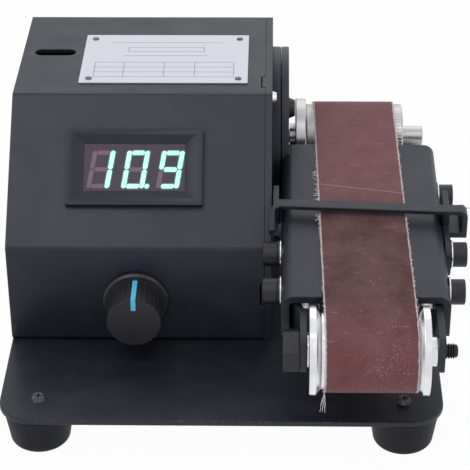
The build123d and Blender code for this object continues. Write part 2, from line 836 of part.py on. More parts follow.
inlet_flange_radius = 7.0
inlet_depth = 12.0
inlet_bore_radius = 2.75
inlet_pin_radius = 1.0
inlet_bore_depth = 10.0
inlet_floor = 1.0
inlet_nut_flats = 14.0
inlet_nut_thick = 2.2
with BuildPart() as power_inlet:
    rod(facing(inlet_x, case_back_y, inlet_z, BACK), inlet_flange_radius, inlet_flange_thick)
    chamfer(power_inlet.edges().sort_by(Axis.Y)[-1], length=0.4)
    rod(facing(inlet_x, case_back_y, inlet_z, BACK), inlet_radius, -inlet_depth)
    mouth = facing(inlet_x, case_back_y + inlet_flange_thick, inlet_z, BACK)
    drill(mouth, inlet_bore_radius, inlet_bore_depth)
    floor = facing(inlet_x, case_back_y - inlet_depth + inlet_floor, inlet_z, BACK)
    rod(floor, inlet_pin_radius, inlet_depth - inlet_floor)
finish(power_inlet.part, "power_inlet")

with BuildPart() as inlet_nut:
    seat = facing(inlet_x, case_back_y - sheet, inlet_z, FORWARD)
    hex_nut(seat, inlet_nut_flats, inlet_radius + thread_gap, inlet_nut_thick)
finish(inlet_nut.part, "inlet_nut")

# ---------------------------------------------------------------- motor
motor_back_x = case_right_x - motor_length
boss_end_x = case_right_x + boss_length
can_wall = 2.0
can_front_wall = 4.0
cap_thick = 3.0
bearing_radius = 5.5
bearing_width = 5.0
bearing_pocket_radius = bearing_radius + running_gap
bearing_seat_wall = 2.5
shaft_clearance_radius = 3.2
front_bearing_x = boss_end_x - bearing_seat_wall - bearing_width
rear_bearing_x = motor_back_x + bearing_seat_wall


def axial(x, points):
    """A ring about the drive axis, from (distance right of x, radius) points."""
    turned(on_drive_axis(x, 0, 0), points)


with BuildPart() as motor_can:
    axial(
        motor_back_x + cap_thick,
        [
            (0, motor_radius - can_wall),
            (0, motor_radius),
            (motor_length - cap_thick, motor_radius),
            (motor_length - cap_thick, boss_radius),
            (boss_end_x - motor_back_x - cap_thick, boss_radius),
            (boss_end_x - motor_back_x - cap_thick, shaft_clearance_radius),
            (front_bearing_x + bearing_width - motor_back_x - cap_thick, shaft_clearance_radius),
            (front_bearing_x + bearing_width - motor_back_x - cap_thick, bearing_pocket_radius),
            (motor_length - cap_thick - can_front_wall, bearing_pocket_radius),
            (motor_length - cap_thick - can_front_wall, motor_radius - can_wall),
        ],
    )
    for angle in motor_screw_angles:
        drill(on_drive_axis(case_right_x, motor_screw_circle, angle), m4_radius + thread_gap, can_front_wall)
finish(motor_can.part, "motor_can")

with BuildPart() as motor_rear_cap:
    axial(
        motor_back_x,
        [
            (0, 0),
            (0, motor_radius),
            (cap_thick, motor_radius),
            (cap_thick, bearing_radius + bearing_seat_wall),
            (rear_bearing_x + bearing_width - motor_back_x, bearing_radius + bearing_seat_wall),
            (rear_bearing_x + bearing_width - motor_back_x, bearing_pocket_radius),
            (rear_bearing_x - motor_back_x - running_gap, bearing_pocket_radius),
            (rear_bearing_x - motor_back_x - running_gap, 0),
        ],
    )
finish(motor_rear_cap.part, "motor_rear_cap")

magnet_start_x = motor_back_x + 19.0
magnet_length = 38.0
magnet_inner_radius = 15.4
magnet_gap = 13.5
with BuildPart() as motor_magnets:
    with BuildSketch(on_drive_axis(magnet_start_x, 0, 0)):
        Circle(motor_radius - can_wall - running_gap)
        Circle(magnet_inner_radius, mode=Mode.SUBTRACT)
        # Two gaps between the magnets, on opposite sides of the axis
        Rectangle(4 * motor_radius, magnet_gap, mode=Mode.SUBTRACT)
    extrude(amount=magnet_length)
finish(motor_magnets.part, "motor_magnets")

commutator_x = motor_back_x + 9.5
commutator_length = 7.0
commutator_radius = 6.0
brush_width = 4.0
with BuildPart() as motor_brushes:
    for angle in (90, 270):
        direction = (0, cos(radians(angle)), sin(radians(angle)))
        middle_x = commutator_x + commutator_length / 2
        seat = on_drive_axis(middle_x, commutator_radius + seat_gap, angle, direction)
        with BuildSketch(seat):
            Rectangle(brush_width, brush_width)
        extrude(amount=motor_radius - can_wall - commutator_radius - 3 * seat_gap)
finish(motor_brushes.part, "motor_brushes")

with BuildPart() as motor_bearings:
    for x in (rear_bearing_x, front_bearing_x):
        tube(on_drive_axis(x, 0, 0), bearing_radius, shaft_radius + running_gap, bearing_width)
finish(motor_bearings.part, "motor_bearings")

with BuildPart() as motor_screws:
    for angle in motor_screw_angles:
        seat = on_drive_axis(pilot_face_x, motor_screw_circle, angle)
        length = pilot_face_x - case_right_x + can_front_wall - 0.5
        pan_screw(seat, m4_radius, m4_head_radius, m4_head_height, length)
finish(motor_screws.part, "motor_screws")

# ---------------------------------------------------------------- mounting disc that the arm tilts on
with BuildPart() as mounting_disc:
    rod(on_drive_axis(panel_x, 0, 0), disc_radius, disc_thick)
    chamfer(mounting_disc.edges().group_by(Axis.X)[-1], length=0.4)
    rod(on_drive_axis(panel_x, 0, 0), pilot_radius, pilot_face_x - panel_x)
    chamfer(mounting_disc.edges().group_by(Axis.X)[-1], length=0.4)
    drill(on_drive_axis(boss_end_x + seat_gap, 0, 0), boss_radius + seat_gap, boss_length)
    drill(on_drive_axis(pilot_face_x, 0, 0), shaft_clearance_radius, pilot_face_x - panel_x)
    for angle in motor_screw_angles:
        hole = on_drive_axis(pilot_face_x, motor_screw_circle, angle)
        drill(hole, m4_radius + hole_gap, pilot_face_x - panel_x)
    for angle in clamp_angles:
        hole = on_drive_axis(panel_x + disc_thick, clamp_circle, angle)
        drill(hole, m4_radius + thread_gap, disc_thick)
    for angle in disc_screw_angles:
        hole = on_drive_axis(panel_x + disc_thick, disc_screw_circle, angle)
        sunk_hole(hole, m3_radius, m3_sunk_radius, disc_thick)
finish(mounting_disc.part, "mounting_disc")

with BuildPart() as disc_screws:
    for angle in disc_screw_angles:
        seat = on_drive_axis(panel_x + disc_thick, disc_screw_circle, angle)
        sunk_screw(seat, m3_radius, m3_sunk_radius, disc_thick + motor_panel_thick - seat_gap)
finish(disc_screws.part, "disc_screws")

clamp_seat_x = pilot_face_x - clamp_recess_depth
with BuildPart() as clamp_screws:
    for angle in clamp_angles:
        seat = on_drive_axis(clamp_seat_x, clamp_circle, angle)
        length = clamp_seat_x - case_right_x - seat_gap
        pan_screw(seat, m4_radius, low_head_radius, low_head_height, length)
finish(clamp_screws.part, "clamp_screws")

# ---------------------------------------------------------------- what the motor turns
shaft_end_x = roller_x + 11.0
armature_radius = 14.8
armature_slots = 5
with BuildPart() as motor_shaft:
    rod(on_drive_axis(rear_bearing_x, 0, 0), shaft_radius, shaft_end_x - rear_bearing_x)
    chamfer(motor_shaft.edges().group_by(Axis.X)[-1], length=0.4)
finish(motor_shaft.part, "motor_shaft")

with BuildPart() as armature:
    with BuildSketch(on_drive_axis(magnet_start_x, 0, 0)):
        Circle(armature_radius)
        Circle(shaft_radius + running_gap, mode=Mode.SUBTRACT)
        with PolarLocations(armature_radius - 4.0, armature_slots):
            SlotOverall(9.0, 3.0, mode=Mode.SUBTRACT)
    extrude(amount=magnet_length)
finish(armature.part, "armature")

with BuildPart() as commutator:
    tube(on_drive_axis(commutator_x, 0, 0), commutator_radius, shaft_radius + running_gap, commutator_length)
finish(commutator.part, "commutator")

knurl_grooves = 48
knurl_depth = 0.35
knurl_start = collar_width + 1.2
grub_x = roller_x + collar_width / 2
grub_radius = 1.5
grub_length = 8.0
grub_angle = 250
grub_direction = (0, cos(radians(grub_angle)), sin(radians(grub_angle)))
hub_start_x = pilot_face_x + 0.4
bore_end_x = shaft_end_x + 0.5
with BuildPart() as drive_roller:
    rod(on_drive_axis(roller_x, 0, 0), collar_radius, collar_width)
    chamfer(drive_roller.edges(), length=0.25)
    rod(on_drive_axis(hub_start_x, 0, 0), hub_radius, roller_x + collar_width - hub_start_x)
    rod(on_drive_axis(roller_x + collar_width / 2, 0, 0), drum_radius, roller_length - collar_width / 2)
    chamfer(drive_roller.edges().group_by(Axis.X)[-1], length=0.6)
    with BuildSketch(on_drive_axis(drum_end_x, 0, 0)):
        with PolarLocations(drum_radius + 0.2, knurl_grooves):
            Circle(knurl_depth + 0.2)
    extrude(amount=-(roller_length - knurl_start), mode=Mode.SUBTRACT)
    rod(on_drive_axis(drum_end_x, 0, 0), stub_radius, stub_length)
    chamfer(drive_roller.edges().group_by(Axis.X)[-1], length=stub_chamfer)
    drill(on_drive_axis(bore_end_x, 0, 0), shaft_radius + running_gap, bore_end_x - hub_start_x)
    hole = on_drive_axis(grub_x, collar_radius, grub_angle, grub_direction)
    drill(hole, grub_radius + thread_gap, collar_radius)
finish(drive_roller.part, "drive_roller")

with BuildPart() as roller_grub_screw:
    seat = on_drive_axis(grub_x, shaft_radius + seat_gap, grub_angle, grub_direction)
    rod(seat, grub_radius, grub_length)
    with BuildSketch(seat.offset(grub_length)):
        RegularPolygon(grub_radius * 0.57, 6)
    extrude(amount=-grub_length / 4, mode=Mode.SUBTRACT)
finish(roller_grub_screw.part, "roller_grub_screw")

# ---------------------------------------------------------------- arm
def on_arm(x, reach, height, direction=RIGHT):
    """A seat at a place on the arm, its normal to the right or the left."""
    return Plane(origin=arm_point(reach, height, x), x_dir=(0, cos(droop), sin(droop)), z_dir=direction)


left_wall_x = arm_x + arm_sheet          # inner faces of the two walls
right_wall_x = arm_right_x - arm_sheet
arm_middle_x = (arm_x + arm_right_x) / 2
wall_top = platen_height - arm_bend_outer
wall_middle = (wall_top + wall_bottom) / 2
left_wall_reach = platen_start + 22.0
screw_reaches = (screw_rear, screw_front)
clamp_slot_width = 2 * m4_radius + 0.4
clamp_recess_gap = 0.3
rest_pin_reach = screw_rear - 9.5
rest_pin_radius = m4_radius
clamp_arcs = [
    CenterArc((0, 0), clamp_circle, angle - arm_droop, arm_tilt_range) for angle in clamp_angles
]
with BuildPart() as arm_frame:
    with BuildSketch(arm_side(arm_x)):
        Circle(disc_radius)
        with Locations((-left_wall_reach / 2, wall_middle)):
            Rectangle(left_wall_reach, wall_top - wall_bottom)
    extrude(amount=arm_sheet)
    with BuildSketch(arm_section(platen_start)) as outer_section:
        with Locations((arm_middle_x, platen_height - wall_depth / 2)):
            Rectangle(arm_width, wall_depth)
        fillet(outer_section.vertices().group_by(Axis.Y)[-1], radius=arm_bend_outer)
    extrude(amount=platen_end - platen_start)
    with BuildSketch(arm_section(platen_start)) as inner_section:
        with Locations((arm_middle_x, platen_height - arm_sheet - wall_depth / 2)):
            Rectangle(right_wall_x - left_wall_x, wall_depth)
        fillet(inner_section.vertices().group_by(Axis.Y)[-1], radius=arm_bend_inner)
    extrude(amount=platen_end - platen_start, mode=Mode.SUBTRACT)
    drill(on_drive_axis(arm_x + arm_sheet, 0, 0), pilot_radius + running_gap, arm_sheet)
    # Two curved slots, which the clamp screws pass through as the arm tilts
    with BuildSketch(arm_side(arm_x)):
        for arc in clamp_arcs:
            SlotArc(arc, clamp_slot_width)
    extrude(amount=arm_sheet, mode=Mode.SUBTRACT)
    with BuildSketch(arm_side(arm_x + arm_sheet - clamp_recess_depth)):
        for arc in clamp_arcs:
            SlotArc(arc, 2 * (low_head_radius + clamp_recess_gap))
    extrude(amount=clamp_recess_depth, mode=Mode.SUBTRACT)
    for reach in screw_reaches:
        drill(on_arm(arm_right_x, reach, screw_height), m5_radius + hole_gap, arm_width)
    drill(on_arm(arm_right_x, anchor_reach, anchor_height), m5_radius + hole_gap, arm_sheet)
    sunk_hole(on_arm(arm_x, anchor_reach, anchor_height, LEFT), m5_radius, m5_sunk_radius, arm_sheet)
    drill(on_arm(left_wall_x, rest_pin_reach, screw_height), rest_pin_radius + thread_gap, arm_sheet)
finish(arm_frame.part, "arm_frame")

# ---------------------------------------------------------------- belt
with BuildPart() as sanding_belt:
    for clearance, mode in ((belt_gap + belt_thick, Mode.ADD), (belt_gap, Mode.SUBTRACT)):
        with BuildSketch(arm_side(belt_x)):
            Circle(drum_radius + clearance)
            with Locations((-centre_distance, 0)):
                Circle(idler_drum_radius + clearance)
            make_hull()
        extrude(amount=belt_width, mode=mode)
finish(sanding_belt.part, "sanding_belt")

# ---------------------------------------------------------------- tension screws and what they clamp
fork_left_x = left_wall_x + fork_gap             # outer faces of the fork's legs along the walls
fork_right_x = right_wall_x - fork_gap
strip_thick = 4.0
strip_top_gap = 0.2
strip_half_height = platen_height - arm_sheet - strip_top_gap - screw_height
strip_overhang = 4.5
strip_left_x = fork_left_x + fork_thick + fork_gap
strip_right_x = fork_right_x - fork_thick - fork_gap
spring_washer_thick = 0.8
spring_washer_radius = 4.5
tab_x = arm_right_x + running_gap                # the tool rest's tab lies on the arm's right wall
tab_washer_x = tab_x + rest_thick + running_gap

with BuildPart() as tension_strips:
    for strip_x in (strip_left_x, strip_right_x - strip_thick):
        with BuildSketch(arm_side(strip_x)):
            with Locations((-(screw_rear + screw_front) / 2, screw_height)):
                Rectangle(screw_front - screw_rear + 2 * strip_overhang, 2 * strip_half_height)
            with Locations(*[(-reach, screw_height) for reach in screw_reaches]):
                Circle(m5_radius + thread_gap, mode=Mode.SUBTRACT)
        extrude(amount=strip_thick)
finish(tension_strips.part, "tension_strips")

left_head_x = arm_x - washer_thick - spring_washer_thick
right_heads = ((screw_rear, tab_washer_x + washer_thick), (screw_front, arm_right_x + washer_thick))
with BuildPart() as tension_screws:
    for reach in screw_reaches:
        cap_screw(on_arm(left_head_x, reach, screw_height, LEFT), strip_left_x + strip_thick - left_head_x)
    for reach, head_x in right_heads:
        cap_screw(on_arm(head_x, reach, screw_height), head_x - strip_right_x + strip_thick)
finish(tension_screws.part, "tension_screws")

with BuildPart() as flat_washers:
    for reach in screw_reaches:
        seat = on_arm(arm_x, reach, screw_height, LEFT)
        tube(seat, washer_radius, m5_radius + hole_gap, washer_thick)
    for reach, head_x in right_heads:
        seat = on_arm(head_x - washer_thick, reach, screw_height)
        tube(seat, washer_radius, m5_radius + hole_gap, washer_thick)
    seat = on_arm(arm_right_x, anchor_reach, anchor_height)
    tube(seat, washer_radius, m5_radius + hole_gap, washer_thick)
finish(flat_washers.part, "flat_washers")

washer_slit = 0.8
with BuildPart() as spring_washers:
    for reach in screw_reaches:
        with BuildSketch(on_arm(arm_x - washer_thick, reach, screw_height, LEFT)):
            Circle(spring_washer_radius)
            Circle(m5_radius + hole_gap, mode=Mode.SUBTRACT)
            with Locations((spring_washer_radius / 2, 0)):
                Rectangle(spring_washer_radius, washer_slit, mode=Mode.SUBTRACT)
        extrude(amount=spring_washer_thick)
finish(spring_washers.part, "spring_washers")

# ---------------------------------------------------------------- spring and its anchor
anchor_half_length = 4.5
anchor_top_gap = 0.1
anchor_half_height = platen_height - arm_sheet - anchor_top_gap - anchor_height
anchor_thread_depth = 12.0
anchor_screw_grip = 9.0
guide_radius = 2.4
fork_web_reach = screw_rear - 12.0
guide_end_reach = fork_web_reach + 6.0
anchor_front_reach = anchor_reach + anchor_half_length
with BuildPart() as spring_anchor:
    with BuildSketch(arm_section(anchor_reach - anchor_half_length)) as anchor_section:
        with Locations((arm_middle_x, anchor_height)):
            Rectangle(right_wall_x - left_wall_x, 2 * anchor_half_height)
        fillet(anchor_section.vertices().group_by(Axis.Y)[-1], radius=arm_bend_inner + 0.2)
    extrude(amount=2 * anchor_half_length)
    with BuildSketch(arm_section(anchor_front_reach)):
        with Locations((arm_middle_x, anchor_height)):
            Circle(guide_radius)
    extrude(amount=guide_end_reach - anchor_front_reach)
    for wall_x, direction in ((right_wall_x, RIGHT), (left_wall_x, LEFT)):
        mouth = on_arm(wall_x, anchor_reach, anchor_height, direction)
        drill(mouth, m5_radius + thread_gap, anchor_thread_depth)
finish(spring_anchor.part, "spring_anchor")

with BuildPart() as anchor_screws:
    seat = on_arm(arm_x, anchor_reach, anchor_height, LEFT)
    sunk_screw(seat, m5_radius, m5_sunk_radius, arm_sheet + anchor_screw_grip)
    seat = on_arm(arm_right_x + washer_thick, anchor_reach, anchor_height)
    cap_screw(seat, washer_thick + arm_sheet + anchor_screw_grip)
finish(anchor_screws.part, "anchor_screws")

spring_radius = 4.0
spring_inner_radius = 2.9
with BuildPart() as tension_spring:
    with BuildSketch(arm_section(anchor_front_reach)):
        with Locations((arm_middle_x, anchor_height)):
            Circle(spring_radius)
            Circle(spring_inner_radius, mode=Mode.SUBTRACT)
    extrude(amount=fork_web_reach - anchor_front_reach)
finish(tension_spring.part, "tension_spring")

rest_leg_gap = 0.85
guide_pin_rest = 0.4         # from the pin's end to the leg's outer face
rest_left_x = arm_x - rest_leg_gap - rest_thick
with BuildPart() as rest_guide_pin:
    seat = on_arm(left_wall_x, rest_pin_reach, screw_height, LEFT)
    rod(seat, rest_pin_radius, left_wall_x - rest_left_x - guide_pin_rest)
finish(rest_guide_pin.part, "rest_guide_pin")

# ---------------------------------------------------------------- fork, axle and idler
fork_top_gap = 0.9
fork_top = platen_height - arm_sheet - fork_top_gap
fork_bottom = -5.25
fork_end_reach = centre_distance + 6.0
fork_joggle_start = centre_distance - 18.0
fork_joggle_end = centre_distance - 8.5
fork_bend_radius = 3.2
fork_nose_radius = 2.0
fork_slot_gap = 0.1
guide_gap = 0.3
fork_overcut = 1.0
idler_setback = 9.0          # from the arm's left face to the idler's left end
idler_x = arm_x + idler_setback
idler_end_x = idler_x + idler_length
left_spacer_thick = 0.6
right_spacer_thick = fork_right_x - fork_thick - idler_end_x - 2 * running_gap
fork_nose_x = idler_x - left_spacer_thick - 2 * running_gap - fork_thick
with BuildPart() as tension_fork:
    with BuildSketch(arm_level(fork_bottom)):
        with BuildLine():
            bent = FilletPolyline(
                (fork_nose_x, -fork_end_reach),
                (fork_nose_x, -fork_joggle_end),
                (fork_left_x, -fork_joggle_start),
                (fork_left_x, -fork_web_reach),
                (fork_right_x, -fork_web_reach),
                (fork_right_x, -fork_end_reach),
                radius=fork_bend_radius,
            )
            offset(bent, amount=fork_thick, side=Side.RIGHT)
        make_face()
    extrude(amount=fork_top - fork_bottom)
    with BuildSketch(arm_side(fork_left_x - fork_overcut)) as fork_profile:
        with Locations((-(fork_web_reach + fork_end_reach) / 2, (fork_top + fork_bottom) / 2)):
            Rectangle(fork_end_reach - fork_web_reach, fork_top - fork_bottom)
        fillet(fork_profile.vertices().group_by(Axis.X)[0], radius=fork_nose_radius)
    extrude(amount=fork_right_x - fork_left_x + 2 * fork_overcut, mode=Mode.INTERSECT)
    with BuildSketch(arm_side(fork_left_x)):
        with Locations(*[(-reach - fork_travel / 2, screw_height) for reach in screw_reaches]):
            SlotCenterToCenter(fork_travel, 2 * (m5_radius + fork_slot_gap))
    extrude(amount=fork_right_x - fork_left_x, mode=Mode.SUBTRACT)
    with BuildSketch(arm_section(fork_web_reach)):
        with Locations((arm_middle_x, anchor_height)):
            Circle(guide_radius + guide_gap)
    extrude(amount=fork_thick, mode=Mode.SUBTRACT)
    drill(on_arm(fork_nose_x + fork_thick, centre_distance, 0), axle_radius + running_gap, fork_thick)
    drill(on_arm(fork_right_x, centre_distance, 0), axle_thread_radius + thread_gap, fork_thick)
finish(tension_fork.part, "tension_fork")

axle_head_flats = 13.0
axle_head_height = 5.5
axle_thread_out = 4.4
with BuildPart() as axle_bolt:
    with BuildSketch(on_arm(fork_nose_x, centre_distance, 0, LEFT)):
        RegularPolygon(axle_head_flats / 2, 6, major_radius=False, rotation=30)
    extrude(amount=axle_head_height)
    seat = on_arm(fork_nose_x, centre_distance, 0)
    rod(seat, axle_radius, fork_right_x - fork_thick - running_gap - fork_nose_x)
    rod(seat, axle_thread_radius, fork_right_x + axle_thread_out - fork_nose_x)
    chamfer(axle_bolt.edges().group_by(Axis.X)[-1], length=0.5)
finish(axle_bolt.part, "axle_bolt")

left_spacer_radius = 5.7
right_spacer_radius = 5.2
with BuildPart() as axle_washers:
    seat = on_arm(fork_nose_x + fork_thick + running_gap, centre_distance, 0)
    tube(seat, left_spacer_radius, axle_radius + running_gap, left_spacer_thick)
    seat = on_arm(idler_end_x + running_gap, centre_distance, 0)
    tube(seat, right_spacer_radius, axle_radius + running_gap, right_spacer_thick)
finish(axle_washers.part, "axle_washers")

flange_rim = 2.2
flange_width = 3.9
idler_bearing_radius = 8.0
idler_bearing_width = 5.0
idler_bore_radius = 6.5
pocket_radius = idler_bearing_radius + running_gap
pocket_depth = idler_bearing_width + running_gap
with BuildPart() as idler_roller:
    with BuildSketch(Plane(origin=arm_point(centre_distance, 0, idler_x), x_dir=RIGHT, z_dir=FORWARD)):
        with BuildLine():
            Polyline(
                (flange_rim, idler_flange_radius),
                (0, idler_flange_radius),
                (0, pocket_radius),
                (pocket_depth, pocket_radius),
                (pocket_depth, idler_bore_radius),
                (idler_length - pocket_depth, idler_bore_radius),
                (idler_length - pocket_depth, pocket_radius),
                (idler_length, pocket_radius),
                (idler_length, idler_flange_radius),
                (idler_length - flange_rim, idler_flange_radius),
                (idler_length - flange_width, idler_drum_radius),
                (flange_width, idler_drum_radius),
                close=True,
            )
        make_face()
    revolve(axis=Axis(arm_point(centre_distance, 0, idler_x), RIGHT))
finish(idler_roller.part, "idler_roller")

with BuildPart() as idler_bearings:
    for x in (idler_x, idler_end_x - idler_bearing_width):
        seat = on_arm(x, centre_distance, 0)
        tube(seat, idler_bearing_radius, axle_radius + running_gap, idler_bearing_width)
finish(idler_bearings.part, "idler_bearings")

# ---------------------------------------------------------------- tool rest
rest_right_x = arm_right_x + rest_overhang
rest_bar_left_reach = rest_leg_start + 8.3        # rear edge of the bar at its left and right ends
rest_bar_right_reach = rest_bar_left_reach + rest_skew
rest_bar_bottom = rest_height - rest_bar_thick
rest_leg_bottom = 4.0
rest_leg_end = rest_leg_start + rest_leg_width
rest_ear_end = screw_rear - washer_radius - 0.5
rest_ear_top = 9.2
rest_slot_gap = 0.1
rest_ear_bottom = screw_height - rest_travel - rest_pin_radius - 2.2
rest_end_start = rest_leg_start + 1.7             # rear edge of the foot of the right leg
rest_end_reach = rest_bar_right_reach + rest_bar_width
rest_end_rise = 1.6                  # how far the right leg's foot stands above its flange
rest_flange_height = 5.2
rest_bend_outer = 3.0
rest_bend_inner = 1.0
rest_tab_start = rest_leg_start + 2.7
rest_tab_end = screw_rear + 4.5
rest_tab_half = 4.6
rest_tab_nose = 4.0
rest_tab_bottom = screw_height - rest_travel - rest_tab_half
rest_joggle = 1.4                    # the horn lies this much further left than the left leg
rest_horn_start = rest_leg_end - 3.0
rest_horn_bend = rest_leg_end + 1.0
rest_horn_end = rest_leg_end + 8.5
rest_horn_drop = 3.4
rest_cut_margin = 1.0
horn_right_x = rest_left_x + rest_thick
with BuildPart() as tool_rest:
    # A horn that runs forward and down from the bar's left end
    with BuildSketch(arm_level(rest_leg_bottom)):
        with BuildLine():
            Polyline(
                (rest_left_x, -rest_horn_start),
                (horn_right_x, -rest_horn_start),
                (horn_right_x, -rest_leg_end + rest_joggle),
                (horn_right_x - rest_joggle, -rest_horn_bend),
                (horn_right_x - rest_joggle, -rest_horn_end),
                (rest_left_x - rest_joggle, -rest_horn_end),
                (rest_left_x - rest_joggle, -rest_horn_bend),
                (rest_left_x, -rest_leg_end + rest_joggle),
                close=True,
            )
        make_face()
    extrude(amount=rest_height - rest_leg_bottom)
    with BuildSketch(arm_side(rest_left_x - rest_joggle - rest_cut_margin)):
        with BuildLine():
            Polyline(
                (-rest_horn_start, rest_height),
                (-rest_leg_end, rest_height),
                (-rest_horn_end, rest_height - rest_horn_drop),
                (-rest_horn_end, rest_height - rest_horn_drop - rest_thick),
                (-rest_leg_end, rest_height - rest_thick),
                (-rest_horn_start, rest_height - rest_thick),
                close=True,
            )
        make_face()
    extrude(amount=rest_thick + rest_joggle + 2 * rest_cut_margin, mode=Mode.INTERSECT)
    # Left leg, with an ear that runs on the guide pin
    with BuildSketch(arm_side(rest_left_x)) as left_leg:
        with Locations((-(rest_leg_start + rest_leg_end) / 2, (rest_leg_bottom + rest_height) / 2)):
            Rectangle(rest_leg_width, rest_height - rest_leg_bottom)
        with Locations((-(rest_leg_start + rest_ear_end) / 2, (rest_ear_top + rest_ear_bottom) / 2)):
            Rectangle(rest_ear_end - rest_leg_start, rest_ear_top - rest_ear_bottom)
        with Locations((-rest_pin_reach, screw_height - rest_travel / 2)):
            SlotCenterToCenter(
                rest_travel, 2 * (rest_pin_radius + rest_slot_gap), rotation=90, mode=Mode.SUBTRACT
            )
    extrude(amount=rest_thick)
    # Bar over the belt, a little further forward at its right end
    with BuildSketch(arm_level(rest_bar_bottom)):
        with BuildLine():
            Polyline(
                (rest_left_x, -rest_bar_left_reach),
                (tab_x, -rest_bar_right_reach),
                (tab_x, -rest_end_reach),
                (rest_left_x, -rest_bar_left_reach - rest_bar_width),
                close=True,
            )
        make_face()
    extrude(amount=rest_bar_thick)
    # Right end: the bar bends down to a leg, which turns in to a flange below
    with BuildSketch(arm_section(rest_end_start)) as right_end:
        with Locations(((tab_x + rest_right_x) / 2, (rest_flange_height + rest_height) / 2)):
            Rectangle(rest_right_x - tab_x, rest_height - rest_flange_height)
        fillet(right_end.vertices().group_by(Axis.X)[-1].sort_by(Axis.Y)[-1], radius=rest_bend_outer)
        inner_right_x = rest_right_x - rest_thick
        inner_left_x = tab_x - 2 * rest_bend_inner
        inner_bottom = rest_flange_height + rest_thick
        with Locations(((inner_left_x + inner_right_x) / 2, (inner_bottom + rest_bar_bottom) / 2)):
            RectangleRounded(
                inner_right_x - inner_left_x,
                rest_bar_bottom - inner_bottom,
                rest_bend_inner,
                mode=Mode.SUBTRACT,
            )
    extrude(amount=rest_end_reach - rest_end_start)
    with BuildSketch(arm_side(tab_x)):
        with BuildLine():
            Polyline(
                (-rest_bar_right_reach, rest_height + rest_cut_margin),
                (-rest_bar_right_reach, rest_bar_bottom),
                (-rest_end_start + rest_cut_margin, inner_bottom + rest_end_rise),
                (-rest_end_start + rest_cut_margin, rest_height + rest_cut_margin),
                close=True,
            )
        make_face()
    extrude(amount=rest_right_x - tab_x, mode=Mode.SUBTRACT)
    # Tab on the arm's right wall, which the rear tension screw holds
    with BuildSketch(arm_side(tab_x)) as tab:
        with Locations((-(rest_tab_start + rest_end_reach) / 2, (rest_tab_bottom + rest_bar_bottom) / 2)):
            Rectangle(rest_end_reach - rest_tab_start, rest_bar_bottom - rest_tab_bottom)
        with Locations((-(rest_tab_start + rest_bar_right_reach) / 2, (rest_tab_bottom + rest_height) / 2)):
            Rectangle(rest_bar_right_reach - rest_tab_start, rest_height - rest_tab_bottom)
        with Locations((-(rest_tab_start + rest_tab_end) / 2, screw_height - rest_travel / 2)):
            Rectangle(rest_tab_end - rest_tab_start, 2 * rest_tab_half + rest_travel)
        fillet(tab.vertices().group_by(Axis.X)[0], radius=rest_tab_nose)
        with Locations((-screw_rear, screw_height - rest_travel / 2)):
            SlotCenterToCenter(
                rest_travel, 2 * (m5_radius + rest_slot_gap), rotation=90, mode=Mode.SUBTRACT
            )
    extrude(amount=rest_thick)
finish(tool_rest.part, "tool_rest")
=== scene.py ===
"""Looks of a small bench belt grinder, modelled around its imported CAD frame."""

import json
import random
from math import asin, atan2, cos, pi, radians, sin, sqrt, tau

import bmesh
import bpy
from mathutils import Matrix, Vector, noise

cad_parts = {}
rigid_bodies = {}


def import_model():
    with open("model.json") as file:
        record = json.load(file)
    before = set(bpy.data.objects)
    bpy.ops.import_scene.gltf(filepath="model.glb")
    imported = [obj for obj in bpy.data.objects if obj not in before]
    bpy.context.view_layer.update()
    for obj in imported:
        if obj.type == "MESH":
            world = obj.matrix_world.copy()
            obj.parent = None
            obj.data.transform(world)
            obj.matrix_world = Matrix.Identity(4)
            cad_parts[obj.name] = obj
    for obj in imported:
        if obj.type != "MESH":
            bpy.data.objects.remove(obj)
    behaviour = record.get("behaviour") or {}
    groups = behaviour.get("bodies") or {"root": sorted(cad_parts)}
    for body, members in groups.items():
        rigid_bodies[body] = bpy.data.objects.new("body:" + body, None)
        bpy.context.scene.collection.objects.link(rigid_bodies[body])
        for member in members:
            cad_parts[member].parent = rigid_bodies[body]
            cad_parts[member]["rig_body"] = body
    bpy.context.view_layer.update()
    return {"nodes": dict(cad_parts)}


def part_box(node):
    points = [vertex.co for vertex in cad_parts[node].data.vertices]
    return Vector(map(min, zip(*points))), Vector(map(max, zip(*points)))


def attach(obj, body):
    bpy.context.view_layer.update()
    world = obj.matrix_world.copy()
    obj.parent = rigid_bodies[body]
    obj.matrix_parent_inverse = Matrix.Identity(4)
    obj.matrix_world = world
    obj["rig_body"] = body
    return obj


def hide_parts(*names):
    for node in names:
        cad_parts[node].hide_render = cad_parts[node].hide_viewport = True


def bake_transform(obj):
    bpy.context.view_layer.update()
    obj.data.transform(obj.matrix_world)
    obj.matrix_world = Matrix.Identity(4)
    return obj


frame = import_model()
nodes = frame["nodes"]

MM = 0.001


# ---------------------------------------------------------------- places, read from the frame
def middle(name):
    """The middle of a CAD node's box."""
    low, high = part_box(name)
    return (low + high) / 2


def facet(name, direction):
    """The middle and the normal of a CAD node's flat face that looks most nearly along a direction."""
    faces = nodes[name].data.polygons
    normal = max((face.normal for face in faces), key=lambda n: n.dot(Vector(direction))).copy()
    flat = [face for face in faces if face.normal.dot(normal) > 0.9999]
    outermost = max(face.center.dot(normal) for face in flat)
    flat = [face for face in flat if face.center.dot(normal) > outermost - 0.01 * MM]
    area = sum(face.area for face in flat)
    return sum((face.center * face.area for face in flat), Vector()) / area, normal


drive_axis = middle("motor_shaft")
idler_axis = middle("idler_roller")
belt_low, belt_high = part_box("sanding_belt")
belt_thick = 0.8 * MM
belt_play = 0.1 * MM
drive_wrap = belt_high.y - drive_axis.y          # the belt's outer radius on each drum
idler_wrap = idler_axis.y - belt_low.y
drum_radius = drive_wrap - belt_thick - belt_play
arm_along = Vector((0, idler_axis.y - drive_axis.y, idler_axis.z - drive_axis.z)).normalized()
arm_up = Vector((0, arm_along.z, -arm_along.y))


